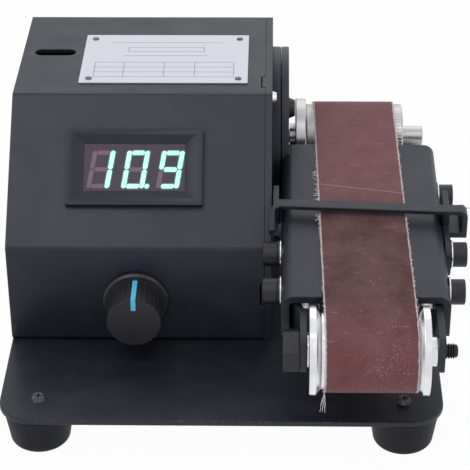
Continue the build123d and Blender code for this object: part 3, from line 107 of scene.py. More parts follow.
# ---------------------------------------------------------------- shader maths
def tint(red, green, blue):
    """A colour from its 0 to 255 screen values."""
    return tuple((channel / 255) ** 2.2 for channel in (red, green, blue)) + (1.0,)


class Wire:
    """A shader node's output. Sums and products of wires and numbers add Math nodes."""

    def __init__(self, finish, socket):
        self.finish = finish
        self.socket = socket

    def __add__(self, other):
        return self.finish.maths("ADD", self, other)

    __radd__ = __add__

    def __mul__(self, other):
        return self.finish.maths("MULTIPLY", self, other)

    __rmul__ = __mul__

    def __sub__(self, other):
        return self.finish.maths("SUBTRACT", self, other)

    def __rsub__(self, other):
        return self.finish.maths("SUBTRACT", other, self)

    def __abs__(self):
        return self.finish.maths("ABSOLUTE", self)

    def __getitem__(self, axis):
        parts = self.finish.node("ShaderNodeSeparateXYZ", inputs={"Vector": self})
        return Wire(self.finish, parts.socket.node.outputs["XYZ".index(axis)])


class Finish:
    """A material under construction around one Principled BSDF."""

    def __init__(self, name, **surface):
        self.material = bpy.data.materials.new(name)
        self.material.use_nodes = True
        self.tree = self.material.node_tree
        self.tree.nodes.clear()
        self.shader = self.tree.nodes.new("ShaderNodeBsdfPrincipled")
        output = self.tree.nodes.new("ShaderNodeOutputMaterial")
        self.tree.links.new(self.shader.outputs["BSDF"], output.inputs["Surface"])
        self.set(**surface)

    def feed(self, socket, value):
        """Put a number, a colour or a wire into a socket."""
        if isinstance(value, Wire):
            self.tree.links.new(value.socket, socket)
        else:
            socket.default_value = value

    def set(self, **surface):
        """Set the surface's sockets, as in base_color=... for Base Color."""
        for name, value in surface.items():
            self.feed(self.shader.inputs[name.replace("_", " ").title().replace("Ior", "IOR")], value)

    def node(self, kind, settings=None, inputs=None, output=0):
        """Add a node: its settings first, then what its sockets take."""
        made = self.tree.nodes.new(kind)
        for name, value in (settings or {}).items():
            if name == "stops":
                made.color_ramp.elements.remove(made.color_ramp.elements[0])
                made.color_ramp.elements[0].position, made.color_ramp.elements[0].color = value[0]
                for position, color in value[1:]:
                    made.color_ramp.elements.new(position).color = color
            else:
                setattr(made, name, value)
        for name, value in (inputs or {}).items():
            self.feed(made.inputs[name], value)
        return Wire(self, made.outputs[output])

    def maths(self, operation, first, second=0.0):
        return self.node("ShaderNodeMath", {"operation": operation}, {0: first, 1: second})

    def object_place(self):
        return self.node("ShaderNodeTexCoord", output="Object")

    def uv_place(self):
        return self.node("ShaderNodeTexCoord", output="UV")

    def vector_maths(self, operation, first, second):
        return self.node("ShaderNodeVectorMath", {"operation": operation}, {0: first, 1: second})

    def noise(self, place, scale, detail=2.0, roughness=0.5):
        """Soft blobs from 0 to 1, so many to a metre."""
        inputs = {"Vector": place, "Scale": scale, "Detail": detail, "Roughness": roughness}
        return self.node("ShaderNodeTexNoise", inputs=inputs)

    def lines(self, along, scale, detail=3.0):
        """Bands from 0 to 1 along one measure, so many to a metre."""
        inputs = {"W": along, "Scale": scale, "Detail": detail}
        return self.node("ShaderNodeTexNoise", {"noise_dimensions": "1D"}, inputs)

    def ramp(self, value, low, high, start=0.0, end=1.0):
        """A value between low and high carried to start and end, and held there beyond."""
        inputs = {"Value": value, "From Min": low, "From Max": high, "To Min": start, "To Max": end}
        return self.node("ShaderNodeMapRange", inputs=inputs)

    def blend(self, share, first, second):
        """The first colour at share 0, the second at share 1."""
        inputs = {0: share, 6: first, 7: second}
        return self.node("ShaderNodeMix", {"data_type": "RGBA"}, inputs, output=2)

    def bump(self, height, depth, strength=1.0):
        """Relief of a height from 0 to 1, so many metres deep."""
        inputs = {"Strength": strength, "Distance": depth, "Height": height}
        self.set(normal=self.node("ShaderNodeBump", inputs=inputs))


# ---------------------------------------------------------------- finishes
def powder_coat():
    """Black powder coat with a fine orange peel and a trace of dust."""
    coat = Finish("black_powder_coat", specular_ior_level=0.48, specular_tint=(0.86, 0.9, 1, 1))
    place = coat.object_place()
    peel = coat.noise(place, 1900, 2)
    dust = coat.ramp(coat.noise(place, 60, 4, 0.6), 0.45, 0.75)
    speck = coat.ramp(coat.noise(place, 700, 1), 0.79, 0.83)
    grain = coat.blend(peel, (0.008, 0.0085, 0.015, 1), (0.015, 0.016, 0.027, 1))
    dusty = coat.blend(dust * 0.25, grain, (0.040, 0.042, 0.054, 1))
    dusty = coat.blend(speck * 0.35, dusty, (0.13, 0.13, 0.15, 1))
    # Small chips along the upper front edge of the base plate
    chips = coat.ramp(coat.noise(place, 1100, 3, 0.6), 0.56, 0.64)
    low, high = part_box("base_plate")
    near_edge = coat.ramp(place["Y"], low.y + 0.12 * MM, low.y + 0.3 * MM, 1, 0)
    near_top = coat.ramp(abs(place["Z"] - high.z), 0.2 * MM, 0.4 * MM, 1, 0)
    coat.set(base_color=coat.blend(chips * near_edge * near_top * 0.5, dusty, (0.4, 0.41, 0.46, 1)))
    coat.set(roughness=coat.ramp(peel + dust, 0.3, 1.4, 0.38, 0.52))
    coat.bump(peel, 0.05 * MM, 0.5)
    return coat.material


def oxide_steel(name, dark, light):
    """Black oxide on steel, a little uneven, with a dull shine."""
    steel = Finish(name, specular_ior_level=0.42)
    place = steel.object_place()
    patch = steel.noise(place, 500, 4, 0.6)
    steel.set(base_color=steel.blend(steel.ramp(patch, 0.35, 0.65), dark, light))
    steel.set(roughness=steel.ramp(patch, 0.3, 0.7, 0.34, 0.5))
    steel.bump(steel.noise(place, 3000, 2), 0.02 * MM, 0.4)
    return steel.material


def bright_metal(name, color, rough_low, rough_high, scale=900):
    """Plated or ground metal with a faintly uneven shine."""
    metal = Finish(name, metallic=1.0)
    place = metal.object_place()
    patch = metal.noise(place, scale, 4, 0.6)
    dark = tuple(channel * 0.82 for channel in color[:3]) + (1.0,)
    metal.set(base_color=metal.blend(patch, dark, color))
    metal.set(roughness=metal.ramp(patch, 0.3, 0.7, rough_low, rough_high))
    metal.bump(metal.noise(place, 2600, 2), 0.01 * MM, 0.4)
    return metal.material


def turned_metal(name, color, axis, rough_low, rough_high, shade):
    """Metal turned in a lathe about an axis along X: fine rings, and softer streaks of painted reflection
    from side to side, where the colour darkens in sectors round the axis.
    """
    metal = Finish(name, metallic=1.0)
    place = metal.vector_maths("SUBTRACT", metal.object_place(), (0, axis.y, axis.z))
    flat = metal.vector_maths("MULTIPLY", place, (0, 1, 1))
    reach = metal.node("ShaderNodeVectorMath", {"operation": "LENGTH"}, {0: flat}, output="Value")
    rings = metal.lines(place["X"] + reach, 5200)
    bands = metal.lines(place["X"] * 1.3 - reach, 700)
    dark = tuple(channel * 0.78 for channel in color[:3]) + (1.0,)
    # Painted reflection: the colour is darker in soft sectors round the axis, standing in for the streaked
    # shine of a turned face.
    around = metal.maths("ARCTAN2", place["Z"], place["Y"] * -1.0)
    painted_sheen_sectors = metal.ramp(metal.lines(around, 1.6, 1), 0.4, 0.66)
    shares = (shade, shade, shade * 1.05)
    sheen_shaded_color = tuple(channel * share for channel, share in zip(color[:3], shares)) + (1.0,)
    metal.set(base_color=metal.blend(painted_sheen_sectors, metal.blend(bands, dark, color), sheen_shaded_color))
    metal.set(roughness=metal.ramp(rings * 0.6 + bands * 0.4, 0.3, 0.7, rough_low, rough_high))
    metal.bump(rings, 0.012 * MM, 0.6)
    return metal.material


def knurled_metal():
    """A knurled drum's steel: bright on the points, with painted shade that darkens it down in the grooves.
    """
    metal = Finish("knurled_steel", metallic=0.9)
    place = metal.vector_maths("SUBTRACT", metal.object_place(), (0, drive_axis.y, drive_axis.z))
    flat = metal.vector_maths("MULTIPLY", place, (0, 1, 1))
    reach = metal.node("ShaderNodeVectorMath", {"operation": "LENGTH"}, {0: flat}, output="Value")
    # Painted shade: the colour goes near black with depth into the knurl's grooves.
    depth = metal.ramp(drum_radius - reach, 0.08 * MM, 0.26 * MM)
    metal.set(base_color=metal.blend(depth, (0.74, 0.73, 0.71, 1), (0.012, 0.012, 0.012, 1)))
    metal.set(roughness=metal.ramp(depth, 0, 1, 0.3, 0.7))
    return metal.material


def plate_metal():
    """Silver nameplate sheet, finely brushed from side to side."""
    metal = Finish("plate_aluminium", metallic=0.85)
    place = metal.vector_maths("MULTIPLY", metal.object_place(), (0.02, 1, 1))
    brushing = metal.noise(place, 5000, 3)
    metal.set(base_color=metal.blend(brushing, tint(181, 183, 194), tint(202, 204, 213)))
    metal.set(roughness=metal.ramp(brushing, 0.3, 0.7, 0.3, 0.42))
    metal.bump(brushing, 0.01 * MM, 0.4)
    return metal.material


def moulded(name, color, rough, grain_depth=0.02, coat=0.0, gloss=0.5):
    """Moulded plastic or rubber with a fine grain and slight mottling."""
    plastic = Finish(name, coat_weight=coat, specular_ior_level=gloss)
    place = plastic.object_place()
    grain = plastic.noise(place, 2400, 2)
    patch = plastic.noise(place, 120, 3)
    light = tuple(min(1.0, channel * 1.5 + 0.004) for channel in color[:3]) + (1.0,)
    plastic.set(base_color=plastic.blend(grain * 0.5 + patch * 0.5, color, light))
    plastic.set(roughness=plastic.ramp(patch, 0.3, 0.7, rough - 0.05, rough + 0.06))
    plastic.bump(grain, grain_depth * MM, 0.5)
    return plastic.material


belt_length = 343 * MM        # along the outer face, which the cloth's pattern is drawn on
belt_width = belt_high.x - belt_low.x
splice_start = 0.1535        # share of the belt's length where its slanting splice crosses the left edge
splice_rise = 0.2            # the splice's slant, forward for each unit across


def abrasive_cloth():
    """Maroon grit bonded to cloth, with pale scuffs across it and whitish worn edges, and painted shade:
    darker on the front part of the loop, lighter again where it bends round the idler.
    """
    cloth = Finish("abrasive_cloth")
    uv = cloth.uv_place()
    place = cloth.vector_maths("MULTIPLY", uv, (belt_length, belt_width, 0))
    grit = cloth.noise(place, 3600, 2, 0.6)
    # Painted shade: the cloth is darker from partway along the top run, round the idler and back under it,
    # than near the drive roller.
    painted_shade_front = cloth.ramp(place["X"], 0.055, 0.072) - cloth.ramp(place["X"], 0.285, 0.305)
    # Painted light where the belt bends round the idler; the same mask also gathers the belt's dust there.
    idler_bend_light_and_dust = cloth.ramp(place["X"], 0.118, 0.146) - cloth.ramp(place["X"], 0.2, 0.24)
    dust = cloth.ramp(cloth.noise(place, 70, 4, 0.7), 0.5, 0.62) * (idler_bend_light_and_dust * 0.8 + 0.2)
    grains = cloth.ramp(cloth.noise(place, 2300, 1), 0.62, 0.7)
    mottle = cloth.noise(place, 90, 5, 0.6)
    across = cloth.vector_maths("MULTIPLY", place, (1, 0.09, 1))
    scuffs = cloth.ramp(cloth.noise(across, 1100, 4, 0.7), 0.6, 0.74)
    patches = cloth.ramp(cloth.noise(place, 130, 3), 0.46, 0.62)
    specks = cloth.ramp(cloth.noise(place, 1300, 1), 0.72, 0.79)
    slant = place["X"] - place["Y"] * splice_rise - splice_start * belt_length
    splice = cloth.ramp(abs(slant), 0.05 * MM, 0.16 * MM, 1, 0)
    edge = cloth.ramp(abs(uv["Y"] - 0.5) + cloth.noise(place, 1200, 3, 0.7) * 0.04, 0.5, 0.512)
    # Painted shade: lit colours for the rear of the belt, shaded ones for the front, and lighter ones again
    # at the idler's bend.
    rear = cloth.blend(grit, tint(86, 48, 53), tint(132, 88, 94))
    front = cloth.blend(grit, tint(54, 27, 28), tint(90, 53, 54))
    front = cloth.blend(idler_bend_light_and_dust, front, cloth.blend(grit, tint(82, 40, 43), tint(132, 78, 82)))
    ground = cloth.blend(painted_shade_front, rear, front)
    ground = cloth.blend(cloth.ramp(mottle, 0.35, 0.7) * 0.35, ground, tint(142, 104, 108))
    marks = scuffs * patches * 0.75 + specks * 0.5 + dust * scuffs * 0.4 + dust * grains * 0.7
    ground = cloth.blend(marks, ground, tint(206, 182, 186))
    ground = cloth.blend(splice * 0.6, ground, tint(214, 190, 192))
    cloth.set(base_color=cloth.blend(edge * 0.9, ground, tint(238, 222, 224)))
    cloth.set(roughness=cloth.ramp(grit, 0.3, 0.7, 0.62, 0.85))
    cloth.bump(grit, 0.12 * MM, 0.7)
    return cloth.material


def woven_backing():
    """The belt's brown cloth back, a plain weave."""
    cloth = Finish("cloth_backing", roughness=0.85)
    place = cloth.vector_maths("MULTIPLY", cloth.uv_place(), (belt_length, belt_width, 0))
    waves = {"Scale": 160.0, "Distortion": 0.6}
    warp = cloth.node("ShaderNodeTexWave", {"bands_direction": "X"}, {"Vector": place, **waves})
    weft = cloth.node("ShaderNodeTexWave", {"bands_direction": "Y"}, {"Vector": place, **waves})
    weave = warp * weft
    cloth.set(base_color=cloth.blend(weave, tint(96, 66, 52), tint(158, 122, 98)))
    cloth.bump(weave, 0.1 * MM, 0.6)
    return cloth.material


def frayed_cloth():
    """Loose pale threads of the belt's cut edge."""
    thread = Finish("frayed_cloth", roughness=0.8)
    patch = thread.noise(thread.object_place(), 1400, 3)
    thread.set(base_color=thread.blend(patch, tint(236, 222, 222), tint(255, 252, 252)))
    thread.bump(patch, 0.05 * MM, 0.5)
    return thread.material


def smoked_window():
    """The display's dark mauve face, with a dull shine."""
    window = Finish("display_window", specular_ior_level=0.3)
    place = window.object_place()
    patch = window.noise(place, 260, 3)
    window.set(base_color=window.blend(patch, tint(62, 52, 66), tint(84, 72, 88)))
    window.set(roughness=window.ramp(patch, 0.3, 0.7, 0.4, 0.5))
    window.bump(window.noise(place, 1500, 2), 0.01 * MM, 0.3)
    return window.material


def segment_light(name, dim, bright, glow):
    """One of the display's bars: its light falls off a little in patches."""
    bar = Finish(name, roughness=0.4, emission_strength=glow)
    patch = bar.noise(bar.object_place(), 900, 2)
    color = bar.blend(bar.ramp(patch, 0.3, 0.7), dim, bright)
    bar.set(base_color=color, emission_color=color)
    return bar.material


def printed_ink():
    """Grey ink of the nameplate's ruled lines, slightly uneven."""
    ink = Finish("plate_ink", roughness=0.6)
    patch = ink.noise(ink.object_place(), 1600, 3)
    ink.set(base_color=ink.blend(patch, tint(62, 62, 72), tint(104, 104, 116)))
    return ink.material


def circuit_board():
    """Green solder mask with a faint weave and paler copper tracks under it."""
    board = Finish("circuit_board", roughness=0.35, coat_weight=0.3)
    place = board.object_place()
    settings = {"feature": "F1", "distance": "CHEBYCHEV"}
    cells = board.node("ShaderNodeTexVoronoi", settings, {"Vector": place, "Scale": 420.0})
    tracks = board.ramp(cells, 0.42, 0.47)
    weave = board.noise(place, 3000, 1)
    ground = board.blend(weave, tint(14, 62, 34), tint(20, 84, 46))
    board.set(base_color=board.blend(tracks * 0.6, ground, tint(70, 136, 80)))
    board.bump(tracks, 0.03 * MM, 0.5)
    return board.material


wave_scale = 0.157            # a wave texture's scale for bands one metre apart


def striped_metal(name, dark, light, pitch, metallic, rough):
    """Thin bands across X, as in stacked iron sheets or copper bars."""
    metal = Finish(name, metallic=metallic)
    place = metal.object_place()
    inputs = {"Vector": place, "Scale": wave_scale / pitch}
    wave = metal.node("ShaderNodeTexWave", {"bands_direction": "X"}, inputs)
    patch = metal.noise(place, 800, 3)
    metal.set(base_color=metal.blend(wave * 0.6 + patch * 0.4, dark, light))
    metal.set(roughness=metal.ramp(patch, 0.3, 0.7, rough - 0.06, rough + 0.08))
    metal.bump(wave, 0.05 * MM, 0.6)
    return metal.material


finishes = {
    "black_powder_coat": powder_coat(),
    "foot_rubber": moulded("foot_rubber", (0.007, 0.0075, 0.011, 1), 0.55, 0.05, gloss=0.2),
    "black_oxide_steel": oxide_steel("black_oxide_steel", (0.006, 0.006, 0.010, 1), (0.02, 0.02, 0.028, 1)),
    "bright_zinc_steel": bright_metal("bright_zinc_steel", (0.80, 0.80, 0.82, 1), 0.16, 0.3),
    "turned_steel": turned_metal("turned_steel", (0.66, 0.655, 0.65, 1), drive_axis, 0.2, 0.36, 0.66),
    "bearing_steel": bright_metal("bearing_steel", (0.62, 0.62, 0.63, 1), 0.12, 0.22),
    "plate_aluminium": plate_metal(),
    "idler_aluminium": turned_metal("idler_aluminium", (0.90, 0.91, 0.93, 1), idler_axis, 0.14, 0.26, 0.78),
    "sink_aluminium": bright_metal("sink_aluminium", (0.70, 0.71, 0.74, 1), 0.35, 0.5),
    "abrasive_cloth": abrasive_cloth(),
    "bezel_plastic": moulded("bezel_plastic", (0.009, 0.011, 0.019, 1), 0.4, 0.01, gloss=0.34),
    "display_window": smoked_window(),
    "dark_plastic": moulded("dark_plastic", (0.012, 0.012, 0.013, 1), 0.42),
    "knob_plastic": moulded("knob_plastic", (0.011, 0.011, 0.014, 1), 0.44, 0.03),
    "pointer_blue": moulded("pointer_blue", tint(92, 190, 242), 0.4, 0.01),
    "circuit_board": circuit_board(),
    "capacitor_sleeve": moulded("capacitor_sleeve", (0.01, 0.014, 0.04, 1), 0.3, 0.01, 0.3),
    "terminal_plastic": moulded("terminal_plastic", (0.02, 0.16, 0.05, 1), 0.4),
    "motor_steel": bright_metal("motor_steel", (0.42, 0.42, 0.43, 1), 0.3, 0.42),
    "magnet_ferrite": moulded("magnet_ferrite", (0.022, 0.022, 0.024, 1), 0.6, 0.06),
    "laminated_iron": striped_metal(
        "laminated_iron", (0.12, 0.12, 0.12, 1), (0.34, 0.33, 0.32, 1), 0.5 * MM, 0.8, 0.4
    ),
    "commutator_copper": striped_metal(
        "commutator_copper", (0.50, 0.20, 0.10, 1), (0.86, 0.42, 0.26, 1), 0.9 * MM, 1.0, 0.25
    ),
    "brush_carbon": moulded("brush_carbon", (0.018, 0.018, 0.019, 1), 0.5, 0.08),
    "spring_steel": bright_metal("spring_steel", (0.5, 0.5, 0.52, 1), 0.2, 0.32),
}
frayed = frayed_cloth()
own_finish = {
    "nameplate_rivets": oxide_steel("dulled_rivets", (0.06, 0.06, 0.07, 1), (0.2, 0.2, 0.22, 1)),
    # Partly wear and partly painted highlight: the foot screws' pale grey patches stand for the bright marks
    # on their heads.
    "foot_screws": oxide_steel("oxide_steel_wear_and_glints", (0.008, 0.008, 0.012, 1), (0.16, 0.16, 0.18, 1)),
}
slot_of = {name: node.data.materials[0].name.split(".")[0] for name, node in nodes.items()}
for name, node in nodes.items():
    node.data.materials[0] = finishes[slot_of[name]]


# ---------------------------------------------------------------- making pieces
weld_gap = 0.001 * MM
sharp_corner = radians(30)


def add_to_scene(name, data):
    """Put a mesh, a lamp or a lens in the scene."""
    made = bpy.data.objects.new(name, data)
    bpy.context.scene.collection.objects.link(made)
    return made


def new_piece(name, mesh_or_bm, body, *materials, replaces=(), slot=None):
    """Put a finished mesh in the scene, on its body."""
    if isinstance(mesh_or_bm, bmesh.types.BMesh):
        mesh = bpy.data.meshes.new(name)
        mesh_or_bm.to_mesh(mesh)
        mesh_or_bm.free()
    else:
        mesh = mesh_or_bm
    mesh.materials.clear()
    for material in materials:
        mesh.materials.append(material)
    piece = add_to_scene(name, mesh)
    if body:
        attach(piece, body)
    if replaces:
        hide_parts(*replaces)
    return piece


def shade_smooth(bm):
    """Smooth shading that stops at sharp corners."""
    for face in bm.faces:
        face.smooth = True
    for edge in bm.edges:
        edge.smooth = edge.calc_face_angle(pi) < sharp_corner


def add_bevel(piece, width, segments=2):
    """Round every sharp edge of a piece."""
    bevel = piece.modifiers.new("rounding", "BEVEL")
    bevel.width = width
    bevel.segments = segments
    bevel.limit_method = "ANGLE"
    bevel.angle_limit = sharp_corner
    bevel.use_clamp_overlap = False
    bevel.harden_normals = True


def softened(name, width, segments=2):
    """A copy of a CAD node with its edges rounded, which stands for the node."""
    source = nodes[name]
    bm = bmesh.new()
    bm.from_mesh(source.data)
    bmesh.ops.remove_doubles(bm, verts=bm.verts, dist=weld_gap)
    bmesh.ops.dissolve_limit(bm, angle_limit=radians(0.5), verts=bm.verts, edges=bm.edges)
    shade_smooth(bm)
    piece = new_piece(
        f"{name}_softened",
        bm,
        source["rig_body"],
        own_finish.get(name, finishes[slot_of[name]]),
        replaces=(name,),
        slot=slot_of[name],
    )
    add_bevel(piece, width, segments)
    return piece


edge_rounding = {
    "base_plate": 0.25,
    "casing": 0.2,
    "left_side_panel": 0.15,
    "right_side_panel": 0.2,
    "rear_panel": 0.15,
    "arm_frame": 0.25,
    "mounting_disc": 0.15,
    "tension_fork": 0.25,
    "tool_rest": 0.3,
    "meter_bezel": 0.05,
    "speed_knob": 0.1,
    "knob_pointer": 0.12,
    "nameplate": 0.06,
    "nameplate_rivets": 0.1,
    "idler_roller": 0.12,
    "axle_bolt": 0.25,
    "axle_washers": 0.1,
    "tension_screws": 0.3,
    "flat_washers": 0.12,
    "spring_washers": 0.12,
    "side_panel_screws": 0.1,
    "foot_screws": 0.08,
    "motor_screws": 0.1,
    "clamp_screws": 0.1,
    "disc_screws": 0.1,
    "spring_anchor": 0.2,
    "tension_strips": 0.2,
    "power_inlet": 0.2,
}
for name, width in edge_rounding.items():
    softened(name, width * MM)


def shorten_axle_bolt():
    """Cut the axle bolt's plain end off inside the fork, where its thread starts."""
    bolt = bpy.data.objects["axle_bolt_softened"].data
    bm = bmesh.new()
    bm.from_mesh(bolt)
    bmesh.ops.bisect_plane(
        bm,
        geom=bm.verts[:] + bm.edges[:] + bm.faces[:],
        plane_co=(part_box("tension_fork")[1].x - bolt_cut_inset, 0, 0),
        plane_no=(1, 0, 0),
        clear_outer=True,
    )
    bmesh.ops.holes_fill(bm, edges=[edge for edge in bm.edges if edge.is_boundary])
    bm.to_mesh(bolt)
    bm.free()


bolt_cut_inset = 0.5 * MM      # from the fork's outer face
shorten_axle_bolt()


# ---------------------------------------------------------------- drive roller and the axle's thread
hub_length = 2.1 * MM
hub_radius = 4.6 * MM
shaft_bore = 2.55 * MM
bore_depth = 13.6 * MM
collar_width = 3.9 * MM
collar_round = 0.3 * MM
stub_length = 7.9 * MM
stub_radius = 3.75 * MM
smooth_end = 5.0 * MM
drum_round = 0.5 * MM
knurl_count = 66
knurl_samples = 4            # vertices to each diamond, both ways
knurl_depth = 0.34 * MM
thread_pitch = 0.8 * MM
thread_radius = 2.5 * MM
thread_depth = 0.45 * MM
thread_tip_radius = 1.6 * MM
thread_inset = 1 * MM         # from the fork's outer face to the thread's hidden start


def lathe(outline, steps):
    """A closed turning about the X axis from an outline of (x, radius) points."""
    bm = bmesh.new()
    verts = [bm.verts.new((x, reach, 0)) for x, reach in outline]
    edges = [bm.edges.new(pair) for pair in zip(verts, verts[1:])]
    bmesh.ops.spin(
        bm, geom=verts + edges, cent=(0, 0, 0), axis=(1, 0, 0), angle=tau, steps=steps, use_merge=True
    )
    bmesh.ops.remove_doubles(bm, verts=bm.verts, dist=weld_gap)
    bmesh.ops.recalc_face_normals(bm, faces=bm.faces)
    return bm


def ridge(phase):
    """The knurl's height, 0 in a groove and 1 between two, at a place counted in diamonds."""
    return 1 - abs(2 * (phase % 1) - 1)


def drive_roller():
    """The drive roller: a hub, a plain collar, a drum with a diamond knurl, a smooth end and a stub."""
    low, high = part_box("drive_roller")
    collar = (high.z - low.z) / 2
    start = low.x + hub_length
    collar_end = start + collar_width
    drum_end = high.x - stub_length
    drum = drum_radius
    pitch = tau * drum / knurl_count
    row = pitch / knurl_samples
    rows = int((drum_end - smooth_end - collar_end) / row)
    knurl_start, knurl_end = collar_end + row, collar_end + rows * row
    outline = [
        (low.x + bore_depth, 0),
        (low.x + bore_depth, shaft_bore),
        (low.x, shaft_bore),
        (low.x, hub_radius),
        (start, hub_radius),
        (start, collar - collar_round),
        (start + collar_round, collar),
        (collar_end - collar_round, collar),
        (collar_end, collar - collar_round),
        (collar_end, drum - knurl_depth),
    ]
    outline += [(knurl_start + count * row, drum) for count in range(rows)]
    outline += [
        (drum_end - drum_round, drum),
        (drum_end, drum - drum_round),
        (drum_end, stub_radius),
        (high.x - collar_round, stub_radius),
        (high.x, stub_radius - collar_round),
        (high.x, 0),
    ]
    bm = lathe(outline, knurl_count * knurl_samples)
    for vert in bm.verts:
        if knurl_start - row / 2 < vert.co.x < knurl_end + row / 2:
            around = atan2(vert.co.z, vert.co.y) * knurl_count / tau
            along = vert.co.x / pitch
            cut = knurl_depth * (1 - min(ridge(around + along), ridge(around - along)))
            vert.co.yz *= 1 - cut / drum
    bmesh.ops.translate(bm, verts=bm.verts, vec=(0, drive_axis.y, drive_axis.z))
    shade_smooth(bm)
    for face in bm.faces:
        face.material_index = int(collar_end < face.calc_center_median().x < knurl_end)
    metals = (finishes["turned_steel"], knurled_metal())
    new_piece("knurled_roller", bm, "drive", *metals, replaces=("drive_roller",), slot="turned_steel")


def axle_thread():
    """The axle's threaded end, which stands out beyond the fork on the right."""
    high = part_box("axle_bolt")[1]
    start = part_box("tension_fork")[1].x - thread_inset
    count = int((high.x - start) / thread_pitch)
    outline = [(start, 0)]
    for turn in range(count):
        crest = start + turn * thread_pitch
        outline += [
            (crest, thread_radius),
            (crest + thread_pitch * 0.2, thread_radius),
            (crest + thread_pitch * 0.5, thread_radius - thread_depth),
            (crest + thread_pitch * 0.6, thread_radius - thread_depth),
        ]
    outline += [
        (start + count * thread_pitch, thread_radius - thread_depth * 0.6),
        (high.x, thread_tip_radius),
        (high.x, 0),
    ]
    bm = lathe(outline, 40)
    bmesh.ops.translate(bm, verts=bm.verts, vec=(0, idler_axis.y, idler_axis.z))
    shade_smooth(bm)
    steel = finishes["black_oxide_steel"]
    new_piece("axle_thread", bm, "fork", steel, slot="black_oxide_steel")


drive_roller()
axle_thread()


# ---------------------------------------------------------------- rubber feet
foot_radius = 12.0 * MM
foot_pocket = 4.6 * MM
foot_pocket_roof = 11.0 * MM
foot_flare = 10.3 * MM
foot_rounding = 2.8 * MM


def rubber_feet():
    """Four turned feet, each a taper with a well rounded bottom and a pocket for its nut."""
    low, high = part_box("rubber_feet")
    bm = bmesh.new()
    bend = [
        (
            foot_flare - foot_rounding + foot_rounding * sin(turn * pi / 16),
            foot_rounding - foot_rounding * cos(turn * pi / 16),
        )
        for turn in range(9)
    ]
    outline = [(0, foot_pocket_roof), (foot_pocket, foot_pocket_roof), (foot_pocket, 0), *bend]
    outline += [(foot_radius, high.z - 0.5 * MM), (foot_radius - 0.3 * MM, high.z), (0, high.z)]
    verts = [bm.verts.new((reach, 0, height)) for reach, height in outline]
    edges = [bm.edges.new(pair) for pair in zip(verts, verts[1:])]
    bmesh.ops.spin(
        bm, geom=verts + edges, cent=(0, 0, 0), axis=(0, 0, 1), angle=tau, steps=72, use_merge=True
    )
    bmesh.ops.remove_doubles(bm, verts=bm.verts, dist=weld_gap)
    bmesh.ops.recalc_face_normals(bm, faces=bm.faces)
    shade_smooth(bm)
    first = bm.verts[:] + bm.edges[:] + bm.faces[:]
    columns = (low.x + foot_radius, high.x - foot_radius)
    rows = (low.y + foot_radius, high.y - foot_radius)
    spots = [(x, y, 0) for x in columns for y in rows]
    for spot in spots[1:]:
        copy = bmesh.ops.duplicate(bm, geom=first)["geom"]
        moved = [part for part in copy if isinstance(part, bmesh.types.BMVert)]
        bmesh.ops.translate(bm, verts=moved, vec=Vector(spot) - Vector(spots[0]))
    bmesh.ops.translate(bm, verts=bm.verts, vec=spots[0])
    rubber = finishes["foot_rubber"]
    new_piece("moulded_feet", bm, "base", rubber, replaces=("rubber_feet",), slot="foot_rubber")


rubber_feet()


# ---------------------------------------------------------------- belt
centres = idler_axis - drive_axis
centres.x = 0
tilt = asin((idler_wrap - drive_wrap) / centres.length)
run_length = sqrt(centres.length**2 - (idler_wrap - drive_wrap) ** 2)
idler_arc = idler_wrap * (pi + 2 * tilt)
drive_arc = drive_wrap * (pi - 2 * tilt)
loop_length = 2 * run_length + idler_arc + drive_arc


def belt_line(length):
    """Where the belt's outer face is at a length along its loop, and which way it looks there."""
    drive, idler = Vector((0, drive_axis.y, drive_axis.z)), Vector((0, idler_axis.y, idler_axis.z))

    def outward(angle):
        return arm_along * cos(angle) + arm_up * sin(angle)

    top, bottom = outward(pi / 2 + tilt), outward(-pi / 2 - tilt)
    if length < run_length:
        share = length / run_length
        return drive + drive_wrap * top + (centres + (idler_wrap - drive_wrap) * top) * share, top
    length -= run_length
    if length < idler_arc:
        normal = outward(pi / 2 + tilt - length / idler_wrap)
        return idler + idler_wrap * normal, normal
    length -= idler_arc
    if length < run_length:
        share = length / run_length
        return idler + idler_wrap * bottom - (centres + (idler_wrap - drive_wrap) * bottom) * share, bottom
    length -= run_length
    normal = outward(-pi / 2 - tilt - length / drive_wrap)
    return drive + drive_wrap * normal, normal


belt_middle_x = (belt_low.x + belt_high.x) / 2
skew_rear = -1.7 * MM                 # the belt has run this far off to the left at the drive roller
skew_front = 0.1 * MM                 # and this far to the right at the idler
belt_steps = 680
belt_rows = 30
fray = 0.22 * MM


def drift(place):
    """How far right of its straight course the belt lies at a place."""
    share = (place - drive_axis).dot(arm_along) / centres.length
    return skew_rear + (skew_front - skew_rear) * share


